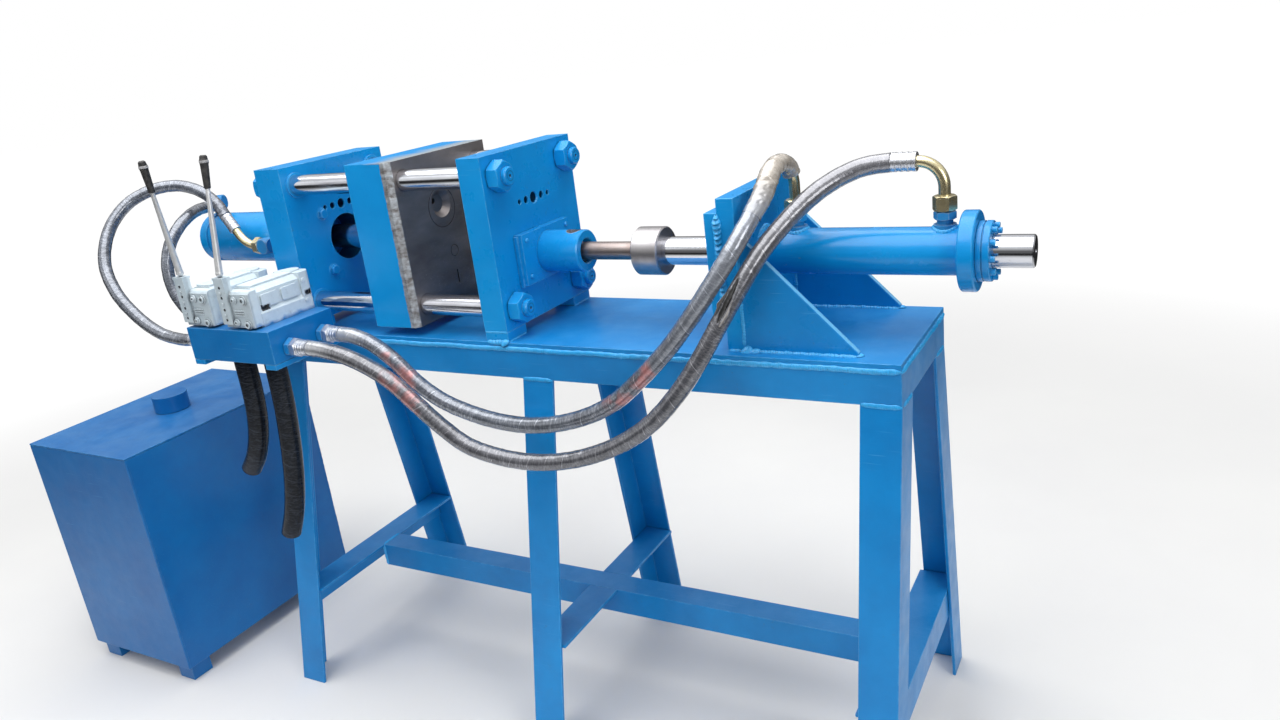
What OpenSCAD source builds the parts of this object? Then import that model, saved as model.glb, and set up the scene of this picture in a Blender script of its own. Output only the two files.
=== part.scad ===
// Small horizontal cold chamber die casting machine.
// A welded angle iron table carries three platens on four tie bars at the left,
// and a double ended shot cylinder on a gusseted bracket at the right.
// A valve block with two lever valves feeds both cylinders through hoses,
// and the oil tank stands by itself beside the table.
// Sizes are in millimetres. Inside the modules X runs to the right from the
// right end of the table, Y runs to the back from its front edge, and Z runs
// up from the floor. The module placed() moves all that to the final origin.

/* [Table] */
// Length of the table top
table_l = 1330; // [1300:10:1400]
// Depth of the table top
table_d = 295; // [285:5:320]
// Height of the table top above the floor
table_h = 800; // [720:10:850]
// Thickness of the table top plate
table_t = 10; // [8:1:14]
// Height of the rails below the top plate
rail_h = 58; // [45:1:70]
// Wall thickness of the rails
rail_t = 6; // [5:1:8]

/* [Legs] */
// Width of the angle iron flanges
angle_w = 65; // [50:1:70]
// Thickness of the angle iron
angle_t = 6; // [5:1:8]
// How far each foot stands out in front of or behind the top
leg_splay = 126; // [80:1:150]
// How far the left feet lean out to the left
left_lean = 30; // [10:1:40]
// How far the middle feet lean to the left
middle_lean = 18; // [0:1:30]
// Distance from the right end to the right edge of the middle legs
middle_leg_x = 625; // [560:5:680]
// Distance from the left end of the table to the left edge of the left legs
left_leg_in = 6; // [0:1:20]
// Height of the top of the cross bars
cross_bar_h = 223; // [180:1:260]
// Side of the square lower rail
lower_rail_w = 55; // [45:1:60]
// Wall of the lower rail
lower_rail_t = 4; // [3:1:6]

/* [Platens] */
// Width of the platens across the machine
platen_w = 290; // [270:5:300]
// Height of the platens
platen_h = 315; // [300:1:330]
// Thickness of the fixed platen that carries the shot sleeve
shot_platen_t = 50; // [40:1:60]
// Thickness of the moving platen
moving_platen_t = 106; // [80:1:120]
// Thickness of the platen that carries the clamp cylinder
clamp_platen_t = 68; // [50:1:75]
// Height of the packing blocks under the fixed platens
packing_h = 18; // [12:1:25]
// Distance from the right end of the table to the shot platen
shot_platen_x = 710; // [690:1:730]
// Clear space between the shot platen and the moving platen
die_space = 159; // [100:1:170]
// Clear space between the moving platen and the clamp platen
back_space = 177; // [150:1:185]
// Diameter of the large hole in the clamp platen
ram_window_d = 96; // [80:1:100]
// Diameter of the largest hole of the upper row
row_hole_d = 20; // [16:1:24]
// Distance from a platen's top to its row of holes
row_drop = 96; // [90:1:104]
// Diameter of the disc let into the moving platen
bush_d = 79; // [70:1:84]
// Width of the torch cut bevel on the moving platen's front edge
torch_bevel = 9; // [5:1:12]

/* [Tie bars] */
// Diameter of the tie bars
bar_d = 40; // [30:1:45]
// Distance between the tie bars across the machine
bar_pitch_y = 218; // [200:1:225]
// Distance between the lower and upper tie bars
bar_pitch_z = 239; // [225:1:245]
// Diameter of the threaded ends
stud_d = 32; // [24:1:33]
// Width across flats of the tie bar nuts
nut_af = 50; // [46:1:56]
// Thickness of the tie bar nuts
nut_t = 26; // [20:1:30]
// Length of thread that shows past each nut
stud_out = 9; // [4:1:15]
// Thickness of the rings round the bars on the clamp platen
bar_ring_t = 4; // [3:1:6]
// Width of the rings round the bars on the clamp platen
bar_ring_w = 5; // [3:0.5:7]

/* [Clamp cylinder] */
// Outer diameter of the clamp cylinder
clamp_cyl_d = 110; // [100:1:118]
// Length of the clamp cylinder
clamp_cyl_l = 340; // [320:5:360]
// Height of the clamp cylinder's axis above the table top
clamp_axis_h = 167; // [160:1:175]
// Diameter of the clamp ram
ram_d = 50; // [40:1:56]
// Diameter of the flange between the ram and the moving platen
ram_flange_d = 88; // [70:1:94]
// Thickness of the flange between the ram and the moving platen
ram_flange_t = 14; // [10:1:18]

/* [Shot end] */
// Height of the shot axis above the table top
shot_axis_h = 135; // [125:1:145]
// Outer diameter of the shot sleeve
sleeve_d = 78; // [70:1:84]
// Bore of the shot sleeve
sleeve_bore = 45; // [40:1:48]
// Length of the sleeve outside its mounting plates
sleeve_l = 86; // [76:1:90]
// Diameter of the pour hole
pour_d = 28; // [20:1:30]
// Distance from the sleeve's outer end to the middle of the pour hole
pour_in = 23; // [20:1:30]
// Width of the sleeve's mounting plates
mount_plate_w = 160; // [150:1:170]
// Height of the sleeve's mounting plates
mount_plate_h = 95; // [90:1:110]
// Thickness of each of the two mounting plates
mount_plate_t = 8; // [6:1:9]
// Diameter of the plunger rod
plunger_d = 33; // [28:1:36]
// Diameter of the coupling
coupling_d = 86; // [75:1:90]
// Length of the coupling
coupling_l = 52; // [45:1:60]
// Distance from the right end of the table to the right face of the coupling
coupling_x = 443; // [440:1:450]

/* [Shot cylinder] */
// Diameter of the chromed shot rod
rod_d = 50; // [40:1:52]
// Outer diameter of the shot cylinder
shot_cyl_d = 75; // [72:1:84]
// Distance that the barrel's rear flange stands out past the table end
shot_flange_x = 61; // [50:1:70]
// Diameter of the rear flange
shot_flange_d = 124; // [110:1:130]
// Thickness of the rear flange
shot_flange_t = 24; // [20:1:28]
// Diameter of the gland collar behind the rear flange
gland_d = 92; // [86:1:98]
// Length of the gland collar
gland_l = 20; // [14:1:24]
// How far the tail of the rod reaches past the table end
tail_x = 164; // [150:1:180]

/* [Bracket] */
// Thickness of the bracket's main plate
bracket_t = 30; // [25:1:35]
// Width of the bracket's main plate
bracket_w = 266; // [250:1:270]
// Height of the bracket's main plate
bracket_h = 248; // [240:1:260]
// Distance from the table's front edge to the bracket
bracket_y = 24; // [20:1:30]
// Distance from the right end of the table to the bracket's right face
bracket_x = 256; // [250:1:260]
// Thickness of the cylinder's front flange plate
front_flange_t = 22; // [16:1:26]
// Height of the cylinder's front flange plate
front_flange_h = 180; // [160:5:200]
// Height and length of the gussets
gusset_w = 186; // [160:1:195]
// Thickness of the gussets
gusset_t = 12; // [8:1:14]

/* [Hydraulics] */
// Length of the valve block
block_l = 227; // [220:1:240]
// Depth of the valve block
block_d = 158; // [140:1:165]
// Height of the valve block
block_h = 65; // [55:1:70]
// Distance from the right end of the table to the valve block
block_x = 1105; // [1095:1:1110]
// Gap between the table's front edge and the valve block
block_gap = 32; // [25:1:40]
// Width across flats of the hose fittings on the block
block_nut_af = 32; // [28:1:36]
// Length of the hose fittings on the block
block_nut_l = 14; // [10:1:18]
// Height of the block's ports above the table top
port_h = 23; // [20:1:30]
// Distance from the block's front face to its first port
first_port_y = 42; // [36:1:48]
// Distance between the block's two ports
port_pitch = 82; // [76:1:88]
// Width of each lever valve's body
valve_w = 72; // [60:1:76]
// Height of each lever valve's body
valve_h = 79; // [70:1:90]
// Length of each lever valve's body
valve_l = 158; // [140:1:170]
// Diameter of the valve levers at the foot
lever_d = 13; // [10:1:14]
// Diameter of the valve levers below the grip
lever_tip_d = 8; // [6:1:9]
// Length of the valve levers
lever_l = 215; // [180:5:230]
// Lean of the left lever to the front, in degrees
left_lever_lean = 4; // [0:1:9]
// Lean of the right lever to the back, in degrees
right_lever_lean = 8; // [0:1:9]
// Outer diameter of the pressure hoses
hose_d = 30; // [26:1:32]
// Outer diameter of the clamp cylinder's hoses
clamp_hose_d = 25; // [22:1:27]
// Outer diameter of the two hanging hoses
drain_hose_d = 40; // [32:1:42]
// Outer diameter of the bent steel tubes
tube_d = 18; // [14:1:20]

/* [Oil tank] */
// Length of the tank across the machine
tank_l = 507; // [450:1:520]
// Width of the tank along the machine
tank_w = 350; // [300:5:400]
// Height of the tank body
tank_h = 534; // [480:1:560]
// Height of the tank's feet
tank_foot_h = 40; // [30:1:60]
// Distance from the right end of the table to the tank
tank_x = 1594; // [1580:1:1620]
// How far the tank stands out in front of the table
tank_y = 237; // [220:1:250]

/* [Hidden] */
$fn = 48;
// Working clearances
seam = 0.3;
fit = 0.05;
// Heights that the sizes give
top_z = table_h;
under_plate_z = table_h - table_t;
rail_z = under_plate_z - rail_h;
shot_z = top_z + shot_axis_h;
clamp_z = top_z + clamp_axis_h;
mid_y = table_d / 2;
left_leg_x = table_l - left_leg_in;
// Platen positions along the machine
shot_platen_l = -shot_platen_x - shot_platen_t;
moving_r = shot_platen_l - die_space;
moving_l = moving_r - moving_platen_t;
clamp_platen_r = moving_l - back_space;
clamp_platen_l = clamp_platen_r - clamp_platen_t;
platen_z = top_z + packing_h;
platen_y = (table_d - platen_w) / 2;
bar_z = platen_z + platen_h / 2;
bar_y = [mid_y - bar_pitch_y / 2, mid_y + bar_pitch_y / 2];
bar_zs = [bar_z - bar_pitch_z / 2, bar_z + bar_pitch_z / 2];
// Shot end positions
plates_r = -shot_platen_x + 2 * mount_plate_t;
sleeve_r = plates_r + sleeve_l;
coupling_r = -coupling_x;
coupling_left = coupling_r - coupling_l;
bracket_r = -bracket_x;
bracket_l = bracket_r - bracket_t;
front_flange_l = bracket_l - front_flange_t;
gland_r = shot_flange_x + shot_flange_t + gland_l;
// How far the plunger tip stands inside the shot platen
plunger_in = 15;
plunger_tip_x = shot_platen_l + plunger_in;
// Valve block position
block_r = -block_x;
block_left = block_r - block_l;
block_y = -block_gap - block_d;
block_top = top_z + block_h;
port_z = top_z + port_h;
port_y = [block_y + first_port_y, block_y + first_port_y + port_pitch];
// Outline of the whole, for the origin
left_end = -tank_x - tank_w;
front_end = -tank_y;
back_end = table_d + leg_splay;
shift_x = -(left_end + tail_x) / 2;
shift_y = -(front_end + back_end) / 2;
// Colours
blue = [0.03, 0.36, 0.75];
steel = [0.72, 0.73, 0.75];
dark = [0.30, 0.27, 0.25];
zinc = [0.75, 0.65, 0.35];
cast = [0.82, 0.84, 0.82];
black = [0.10, 0.10, 0.11];
// Routes of the hoses through their centre lines
front_shot_route = [
    [-1053, -66, 823], [-1020, -66, 820], [-980, -64, 806], [-935, -62, 775],
    [-890, -60, 732], [-840, -58, 700], [-780, -57, 680], [-715, -56, 668],
    [-650, -55, 666], [-585, -53, 675], [-520, -52, 696], [-465, -50, 726],
    [-415, -47, 768], [-365, -44, 816], [-322, -40, 866], [-285, -32, 916],
    [-258, -17, 958], [-239, 5, 994], [-229, 28, 1018], [-220, 54, 1043]
];
rear_shot_route = [
    [-1053, -148, 823], [-1015, -148, 820], [-970, -148, 812], [-920, -147, 795],
    [-870, -145, 768], [-825, -143, 730], [-780, -140, 690], [-730, -136, 655],
    [-670, -130, 637], [-610, -124, 631], [-550, -117, 635], [-490, -110, 650],
    [-430, -103, 676], [-375, -94, 714], [-330, -80, 763], [-296, -66, 812],
    [-267, -46, 864], [-240, -20, 915], [-212, 14, 966], [-182, 58, 1006],
    [-152, 96, 1036], [-118, 124, 1057], [-83, 141, 1069], [-42.5, 147.5, 1073]
];
clamp_front_route = [
    [-1460, 60, 1032], [-1481, 60, 1062], [-1514, 52, 1090], [-1556, 32, 1106],
    [-1599, -2, 1103], [-1631, -46, 1080], [-1641, -93, 1035], [-1623, -133, 976],
    [-1581, -153, 919], [-1533, -153, 868], [-1478, -151, 835], [-1424, -148, 823],
    [-1384, -148, 823]
];
clamp_rear_route = [
    [-1556, 85, 1047], [-1544, 59, 1047], [-1534, 27, 1041], [-1529, -9, 1023],
    [-1529, -41, 991], [-1526, -62, 947], [-1511, -71, 897], [-1481, -71, 856],
    [-1442, -68, 832], [-1405, -66, 823], [-1384, -66, 823]
];
left_drain_route = [
    [-1240, -150, 800], [-1240, -150, 740], [-1242, -150, 700], [-1248, -150, 660],
    [-1260, -150, 620], [-1280, -150, 580], [-1305, -150, 548]
];
right_drain_route = [
    [-1155, -150, 800], [-1156, -150, 740], [-1159, -150, 690], [-1165, -150, 640],
    [-1174, -150, 585], [-1188, -150, 525], [-1208, -150, 465], [-1234, -150, 410]
];

// Moves a piece from the working frame to the final origin
module placed() {
    translate([shift_x, shift_y, 0]) children();
}

// A block given by its lowest corner and its highest corner
module block(low, high) {
    translate(low) cube(high - low);
}

// A round bar along X from x0 to x1
module bar_x(x0, x1, y, z, d) {
    translate([x0, y, z]) rotate([0, 90, 0]) cylinder(h = x1 - x0, d = d);
}

// A nut along X from x0 to x1, given by its width across flats
module nut_x(x0, x1, y, z, af) {
    translate([x0, y, z]) rotate([0, 90, 0]) hex_nut(x1 - x0, af);
}

// Hexagon nut along +Z, with its corners turned off at both ends
module hex_nut(h, af) {
    corner_r = af / cos(30) / 2;
    face_r = 0.47 * af;
    slope = (corner_r - face_r) * tan(30);
    intersection() {
        cylinder(h = h, r = corner_r, $fn = 6);
        rotate_extrude() polygon([
            [0, 0], [face_r, 0], [corner_r, slope],
            [corner_r, h - slope], [face_r, h], [0, h]
        ]);
    }
}

// A turned solid along +X from x0, from a profile of [radius, distance] points
module turned_x(x0, y, z, profile) {
    translate([x0, y, z]) rotate([0, 90, 0]) rotate_extrude() polygon(profile);
}

// Profile of a ring from bore radius r0 to outer radius r1 and of length l, with chamfers c
function ring_profile(r0, r1, l, c) = c == 0
    ? [[r0, 0], [r1, 0], [r1, l], [r0, l]]
    : [[r0, 0], [r1 - c, 0], [r1, c], [r1, l - c], [r1 - c, l], [r0, l]];

// Section of an angle iron with its outer corner on the origin
module angle_section() {
    polygon([
        [0, 0], [angle_w, 0], [angle_w, angle_t],
        [angle_t, angle_t], [angle_t, angle_w], [0, angle_w]
    ]);
}

// Front leg whose outer corner meets the rail at x.
// side = 1 puts the second flange on the left edge, and -1 on the right edge.
module splayed_leg(x, lean, side) {
    lean_a = atan(lean / rail_z);
    splay_a = atan(leg_splay / rail_z * cos(lean_a));
    intersection() {
        translate([x - lean, -leg_splay, 0]) rotate([-splay_a, lean_a, 0])
            translate([0, 0, -angle_w]) mirror([side < 0 ? 1 : 0, 0, 0])
                linear_extrude(height = rail_z + 3 * angle_w) angle_section();
        block([x - lean - 2 * angle_w, -2 * leg_splay, 0], [x + 2 * angle_w, table_d, rail_z - seam]);
    }
}

// The same leg seen from the back
module back_leg(x, lean, side) {
    translate([0, table_d, 0]) mirror([0, 1, 0]) splayed_leg(x, lean, side);
}

// How much thicker the wall of a leaning leg is when it is measured level
lean_growth = 1.02;

// Space between the inner faces of a front leg and its back leg,
// as a slab from x0 to x1
module between_legs(x0, x1) {
    wall = angle_t * lean_growth + seam;
    y_floor = -leg_splay + wall;
    y_rail = wall;
    translate([x0, 0, 0]) rotate([90, 0, 90]) linear_extrude(height = x1 - x0)
        polygon([
            [y_floor, 0], [table_d - y_floor, 0],
            [table_d - y_rail, rail_z], [y_rail, rail_z]
        ]);
}

// An angle iron across the frame, flat side up, from y0 to y1.
// side = 1 puts its upright flange on the left edge, and -1 on the right edge.
module cross_angle(x, side, y0, y1) {
    intersection() {
        translate([x, y1, cross_bar_h]) rotate([90, 0, 0]) mirror([side < 0 ? 1 : 0, 0, 0])
            mirror([0, 1, 0]) linear_extrude(height = y1 - y0) angle_section();
        between_legs(x - 2 * angle_w, x + 2 * angle_w);
    }
}

// How far a leaning leg has moved from the rail down to the cross bars
function lean_at_bar(lean) = lean * (1 - (cross_bar_h - angle_w) / rail_z);

// Extra room that a leaning flange needs over the height of a cross bar
function lean_room(lean) = lean * angle_w / rail_z + seam;

left_bar_x = -left_leg_x - lean_at_bar(left_lean) + angle_t + lean_room(left_lean);
middle_bar_x = -middle_leg_x - angle_w - lean_at_bar(middle_lean) + angle_t + lean_room(middle_lean);
right_bar_x = -angle_t - seam;

module table_top() {
    color(blue) placed() block([-table_l, 0, under_plate_z], [0, table_d, top_z]);
}

module long_rails() {
    color(blue) placed() {
        block([-table_l, 0, rail_z], [0, rail_t, under_plate_z]);
        block([-table_l, table_d - rail_t, rail_z], [0, table_d, under_plate_z]);
    }
}

module end_rails() {
    color(blue) placed() {
        block([-table_l, rail_t, rail_z], [-table_l + rail_t, table_d - rail_t, under_plate_z]);
        block([-rail_t, rail_t, rail_z], [0, table_d - rail_t, under_plate_z]);
    }
}

module front_left_leg() {
    color(blue) placed() splayed_leg(-left_leg_x, left_lean, 1);
}

module front_middle_leg() {
    color(blue) placed() splayed_leg(-middle_leg_x - angle_w, middle_lean, 1);
}

module front_right_leg() {
    color(blue) placed() splayed_leg(0, 0, -1);
}

module back_left_leg() {
    color(blue) placed() back_leg(-left_leg_x, left_lean, 1);
}

module back_middle_leg() {
    color(blue) placed() back_leg(-middle_leg_x - angle_w, middle_lean, 1);
}

module back_right_leg() {
    color(blue) placed() back_leg(0, 0, -1);
}

module left_cross_bar() {
    color(blue) placed() cross_angle(left_bar_x, 1, -leg_splay, table_d + leg_splay);
}

module middle_cross_bars() {
    half = lower_rail_w / 2 + seam;
    color(blue) placed() {
        cross_angle(middle_bar_x, 1, -leg_splay, mid_y - half);
        cross_angle(middle_bar_x, 1, mid_y + half, table_d + leg_splay);
    }
}

module right_cross_bar() {
    color(blue) placed() cross_angle(right_bar_x, -1, -leg_splay, table_d + leg_splay);
}

module lower_rail() {
    x0 = left_bar_x + angle_w + seam;
    x1 = right_bar_x - angle_w - seam;
    half = lower_rail_w / 2;
    z0 = cross_bar_h - lower_rail_w;
    t = lower_rail_t;
    color(blue) placed() difference() {
        block([x0, mid_y - half, z0], [x1, mid_y + half, cross_bar_h]);
        block([x0 - 1, mid_y - half + t, z0 + t], [x1 + 1, mid_y + half - t, cross_bar_h - t]);
    }
}

// Plain platen plate with the four tie bar bores
module platen_plate(x0, x1) {
    difference() {
        block([x0, platen_y, platen_z], [x1, platen_y + platen_w, platen_z + platen_h]);
        for (y = bar_y, z = bar_zs)
            bar_x(x0 - 1, x1 + 1, y, z, bar_d + 2 * fit);
    }
}

// Ring round a tie bar on the face of its platen
module bar_ring(x, y, z) {
    difference() {
        bar_x(x - 1, x + bar_ring_t, y, z, bar_d + 2 * bar_ring_w);
        bar_x(x - 2, x + bar_ring_t + 1, y, z, bar_d + 2 * fit);
    }
}

// Row of five holes above the middle of the fixed platens: [offset, share of the largest]
row_holes = [[-46, 0.5], [-25, 0.7], [0, 1], [25, 0.7], [46, 0.5]];

module hole_row(x0, x1) {
    for (hole = row_holes)
        bar_x(x0 - 1, x1 + 1, mid_y + hole[0], platen_z + platen_h - row_drop, row_hole_d * hole[1]);
}

module clamp_platen() {
    color(blue) placed() difference() {
        union() {
            platen_plate(clamp_platen_l, clamp_platen_r);
            for (y = bar_y, z = bar_zs)
                bar_ring(clamp_platen_r, y, z);
        }
        bar_x(clamp_platen_l - 1, clamp_platen_r + 1, mid_y, clamp_z, ram_window_d);
        hole_row(clamp_platen_l, clamp_platen_r);
    }
}

// Places on the moving platen's bare face, from the platen's middle and top:
// the disc, the bowl turned in it with a drilled hole, a round plug and a short slot
bush_y = mid_y - 16;
bush_z = platen_z + platen_h - 107;
bowl_d = 56;
bowl_floor_d = 34;
bowl_t = 12;
bowl_z = bush_z + 8;
drilled_d = 12;
drilled_y = bush_y - 10;
drilled_z = bowl_z + 6;
plug_d = 24;
plug_y = bush_y + 15;
plug_z = bush_z - 90;
slot_l = 26;
slot_w = 4;
slot_y = bush_y + 10;
slot_z = bush_z - 142;
// Width and depth of the scribed outlines
scribe_w = 1.5;
scribe_t = 2;

// Thin groove round a disc of diameter d that is let into a face at x
module disc_groove(x, y, z, d) {
    turned_x(x - scribe_t, y, z, ring_profile(d / 2 - scribe_w, d / 2, scribe_t + 1, 0));
}

// The bowl is turned off centre in its disc, with a drilled hole through its slope
module moving_platen() {
    color(blue) placed() difference() {
        platen_plate(moving_l, moving_r);
        disc_groove(moving_r, bush_y, bush_z, bush_d);
        disc_groove(moving_r, plug_y, plug_z, plug_d);
        translate([moving_r - bowl_t, bush_y, bowl_z]) rotate([0, 90, 0])
            cylinder(h = bowl_t + seam, d1 = bowl_floor_d, d2 = bowl_d);
        bar_x(moving_r - 3 * bowl_t, moving_r + 1, drilled_y, drilled_z, drilled_d);
        block(
            [moving_r - scribe_t, slot_y, slot_z - slot_l / 2],
            [moving_r + 1, slot_y + slot_w, slot_z + slot_l / 2]
        );
        translate([0, 0, platen_z - 1]) linear_extrude(height = platen_h + 2) polygon([
            [moving_r - torch_bevel, platen_y - 1], [moving_r + 1, platen_y - 1],
            [moving_r + 1, platen_y + torch_bevel], [moving_r, platen_y + torch_bevel],
            [moving_r - torch_bevel, platen_y]
        ]);
    }
}

// Depth and extra width of the countersink on the largest hole of the row
sink_t = 2;

module shot_platen() {
    color(blue) placed() difference() {
        platen_plate(shot_platen_l, -shot_platen_x);
        bar_x(shot_platen_l - 1, -shot_platen_x + 1, mid_y, shot_z, sleeve_d + 2 * fit);
        hole_row(shot_platen_l, -shot_platen_x);
        translate([-shot_platen_x - sink_t, mid_y, platen_z + platen_h - row_drop]) rotate([0, 90, 0])
            cylinder(h = sink_t + seam, d1 = row_hole_d, d2 = row_hole_d + 2 * sink_t);
    }
}

// Length of each packing block across the machine
packing_l = 60;

module packing_blocks() {
    color(blue) placed()
        for (x = [[clamp_platen_l, clamp_platen_r], [shot_platen_l, -shot_platen_x]])
            for (y = [platen_y, platen_y + platen_w - packing_l])
                block([x[0], y, top_z], [x[1], y + packing_l, platen_z]);
}

// Half profile of a tie bar: centre drilled and chamfered studs on both ends of the bar
tip = 2;
centre_r = 3;
centre_l = 5;
stud_l = nut_t + stud_out;
bar_span = -shot_platen_x - clamp_platen_l;
bar_total = bar_span + 2 * stud_l;
bar_profile = [
    [0, centre_l], [centre_r, 0], [stud_d / 2 - tip, 0], [stud_d / 2, tip],
    [stud_d / 2, stud_l], [bar_d / 2, stud_l],
    [bar_d / 2, bar_total - stud_l], [stud_d / 2, bar_total - stud_l],
    [stud_d / 2, bar_total - tip], [stud_d / 2 - tip, bar_total],
    [centre_r, bar_total], [0, bar_total - centre_l]
];

module tie_bars() {
    color(steel) placed() for (y = bar_y, z = bar_zs)
        turned_x(clamp_platen_l - stud_l, y, z, bar_profile);
}

// Both faces of each nut, along the machine
nut_faces = [
    [clamp_platen_l - nut_t, clamp_platen_l - seam],
    [-shot_platen_x + seam, -shot_platen_x + nut_t]
];

module tie_bar_nuts() {
    color(blue) placed() for (y = bar_y, z = bar_zs, x = nut_faces)
        difference() {
            nut_x(x[0], x[1], y, z, nut_af);
            bar_x(x[0] - 1, x[1] + 1, y, z, stud_d + 2 * fit);
        }
}

// End cap of the clamp cylinder: its length, the groove beside it and its dished face
cap_t = 24;
groove_w = 8;
groove_t = 3;
dish_d = 70;
dish_t = 3;
chamfer = 2;
// Room left behind the ram inside the cylinder
ram_room = 120;

module clamp_cylinder() {
    r = clamp_cyl_d / 2;
    l = clamp_cyl_l - seam;
    bore_r = ram_d / 2 + fit;
    color(blue) placed() turned_x(clamp_platen_l - clamp_cyl_l, mid_y, clamp_z, [
        [0, dish_t], [dish_d / 2, dish_t], [dish_d / 2, 0], [r - chamfer, 0], [r, chamfer],
        [r, cap_t], [r - groove_t, cap_t], [r - groove_t, cap_t + groove_w], [r, cap_t + groove_w],
        [r, l], [bore_r, l], [bore_r, cap_t], [0, cap_t]
    ]);
}

module clamp_ram() {
    x0 = clamp_platen_l - clamp_cyl_l + ram_room;
    shaft_l = moving_l - ram_flange_t - x0;
    color(steel) placed() turned_x(x0, mid_y, clamp_z, [
        [0, 0], [ram_d / 2 - chamfer, 0], [ram_d / 2, chamfer], [ram_d / 2, shaft_l],
        [ram_flange_d / 2 - chamfer, shaft_l], [ram_flange_d / 2, shaft_l + chamfer],
        [ram_flange_d / 2, shaft_l + ram_flange_t], [0, shaft_l + ram_flange_t]
    ]);
}

// How far the back sleeve plate stands out past the front one, to the front and below
plate_step = 3;

module sleeve_plates() {
    x0 = -shot_platen_x + seam;
    y0 = mid_y - mount_plate_w / 2;
    z0 = shot_z - mount_plate_h / 2;
    y1 = y0 + mount_plate_w;
    z1 = z0 + mount_plate_h;
    step = plate_step;
    color(blue) placed() difference() {
        union() {
            block([x0, y0 - step, z0 - step], [x0 + mount_plate_t, y1, z1 - step]);
            block([x0, y0, z0], [plates_r, y1, z1]);
        }
        bar_x(x0 - 1, plates_r + 1, mid_y, shot_z, sleeve_d + 2 * fit);
    }
}

// Turned sleeve with a chamfered mouth, and the pour hole from above
module shot_sleeve() {
    l = sleeve_r - shot_platen_l;
    r = sleeve_d / 2;
    bore_r = sleeve_bore / 2;
    color(blue) placed() difference() {
        turned_x(shot_platen_l, mid_y, shot_z, [
            [bore_r, 0], [r, 0], [r, l - chamfer], [r - chamfer, l],
            [bore_r + chamfer, l], [bore_r, l - chamfer]
        ]);
        translate([sleeve_r - pour_in, mid_y, shot_z]) cylinder(h = sleeve_d, d = pour_d);
    }
}

plunger_tip_l = 22;

module plunger_rod() {
    tip_r = sleeve_bore / 2 - fit;
    rod_r = plunger_d / 2;
    l = coupling_left - plunger_tip_x;
    color(dark) placed() turned_x(plunger_tip_x, mid_y, shot_z, [
        [0, 0], [tip_r - chamfer, 0], [tip_r, chamfer], [tip_r, plunger_tip_l],
        [rod_r, plunger_tip_l], [rod_r, l], [0, l]
    ]);
}

module rod_coupling() {
    color(dark) placed() turned_x(
        coupling_left, mid_y, shot_z,
        ring_profile(0, coupling_d / 2, coupling_l, chamfer)
    );
}

module shot_rod() {
    r = rod_d / 2;
    l = tail_x - coupling_r;
    color(steel) placed() turned_x(coupling_r, mid_y, shot_z, [
        [0, 0], [r, 0], [r, l - chamfer], [r - chamfer, l],
        [centre_r, l], [0, l - centre_l]
    ]);
}

module cylinder_front_flange() {
    half = front_flange_h / 2;
    color(blue) placed() difference() {
        block(
            [front_flange_l, bracket_y, shot_z - half],
            [bracket_l - seam, 2 * mid_y - bracket_y, shot_z + half]
        );
        bar_x(front_flange_l - 1, bracket_l + 1, mid_y, shot_z, rod_d + 2 * fit);
    }
}

module bracket_plate() {
    color(blue) placed() difference() {
        block([bracket_l, bracket_y, top_z], [bracket_r, bracket_y + bracket_w, top_z + bracket_h]);
        bar_x(bracket_l - 1, bracket_r + 1, mid_y, shot_z, rod_d + 2 * fit);
    }
}

// Height of the blunt corners of the gussets
gusset_toe = 6;

module bracket_gussets() {
    toe = gusset_toe;
    color(blue) placed()
        for (y = [bracket_y, bracket_y + bracket_w - gusset_t])
            translate([bracket_r + seam, y + gusset_t, top_z]) rotate([90, 0, 0])
                linear_extrude(height = gusset_t)
                    polygon([[0, 0], [gusset_w, 0], [gusset_w, toe], [toe, gusset_w], [0, gusset_w]]);
}

// Turned step where the barrel meets the bracket
barrel_collar_l = 8;
barrel_collar_t = 4;
rod_bore_r = rod_d / 2 + fit;

module shot_cylinder() {
    r = shot_cyl_d / 2;
    l = shot_flange_x - bracket_r - seam;
    color(blue) placed() turned_x(bracket_r + seam, mid_y, shot_z, [
        [rod_bore_r, 0], [r + barrel_collar_t, 0], [r + barrel_collar_t, barrel_collar_l],
        [r, barrel_collar_l + barrel_collar_t], [r, l], [rod_bore_r, l]
    ]);
}

module rear_flange() {
    color(blue) placed() turned_x(
        shot_flange_x + seam, mid_y, shot_z,
        ring_profile(rod_bore_r, shot_flange_d / 2, shot_flange_t - seam, chamfer)
    );
}

// The gland is two rings with a groove between them and a recess for the wiper
gland_groove_w = 2;

module rear_gland() {
    r = gland_d / 2;
    l = gland_l - seam;
    mid = l / 2;
    color(blue) placed() turned_x(shot_flange_x + shot_flange_t + seam, mid_y, shot_z, [
        [rod_bore_r, 0], [r, 0], [r, mid - gland_groove_w], [r - gland_groove_w, mid - gland_groove_w],
        [r - gland_groove_w, mid], [r, mid], [r, l - 1], [r - 1, l],
        [rod_bore_r + chamfer, l], [rod_bore_r, l - chamfer]
    ]);
}

// Ports along the machine
rear_port_x = 35;
front_port_x = -200;
clamp_port_x = -1352;
clamp_rear_port_x = -1585;
// Weld boss, neck, adapter and swivel nut of the two ports on the shot cylinder
port_base_z = shot_z + shot_cyl_d / 2;
boss_h = 5;
boss_d = 34;
neck_h = 7;
neck_d = 24;
adapter_h = 13;
adapter_af = 30;
nut_h = 23;
swivel_af = 32;
tube_base_z = port_base_z + boss_h + neck_h + adapter_h + nut_h + seam;
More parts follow.
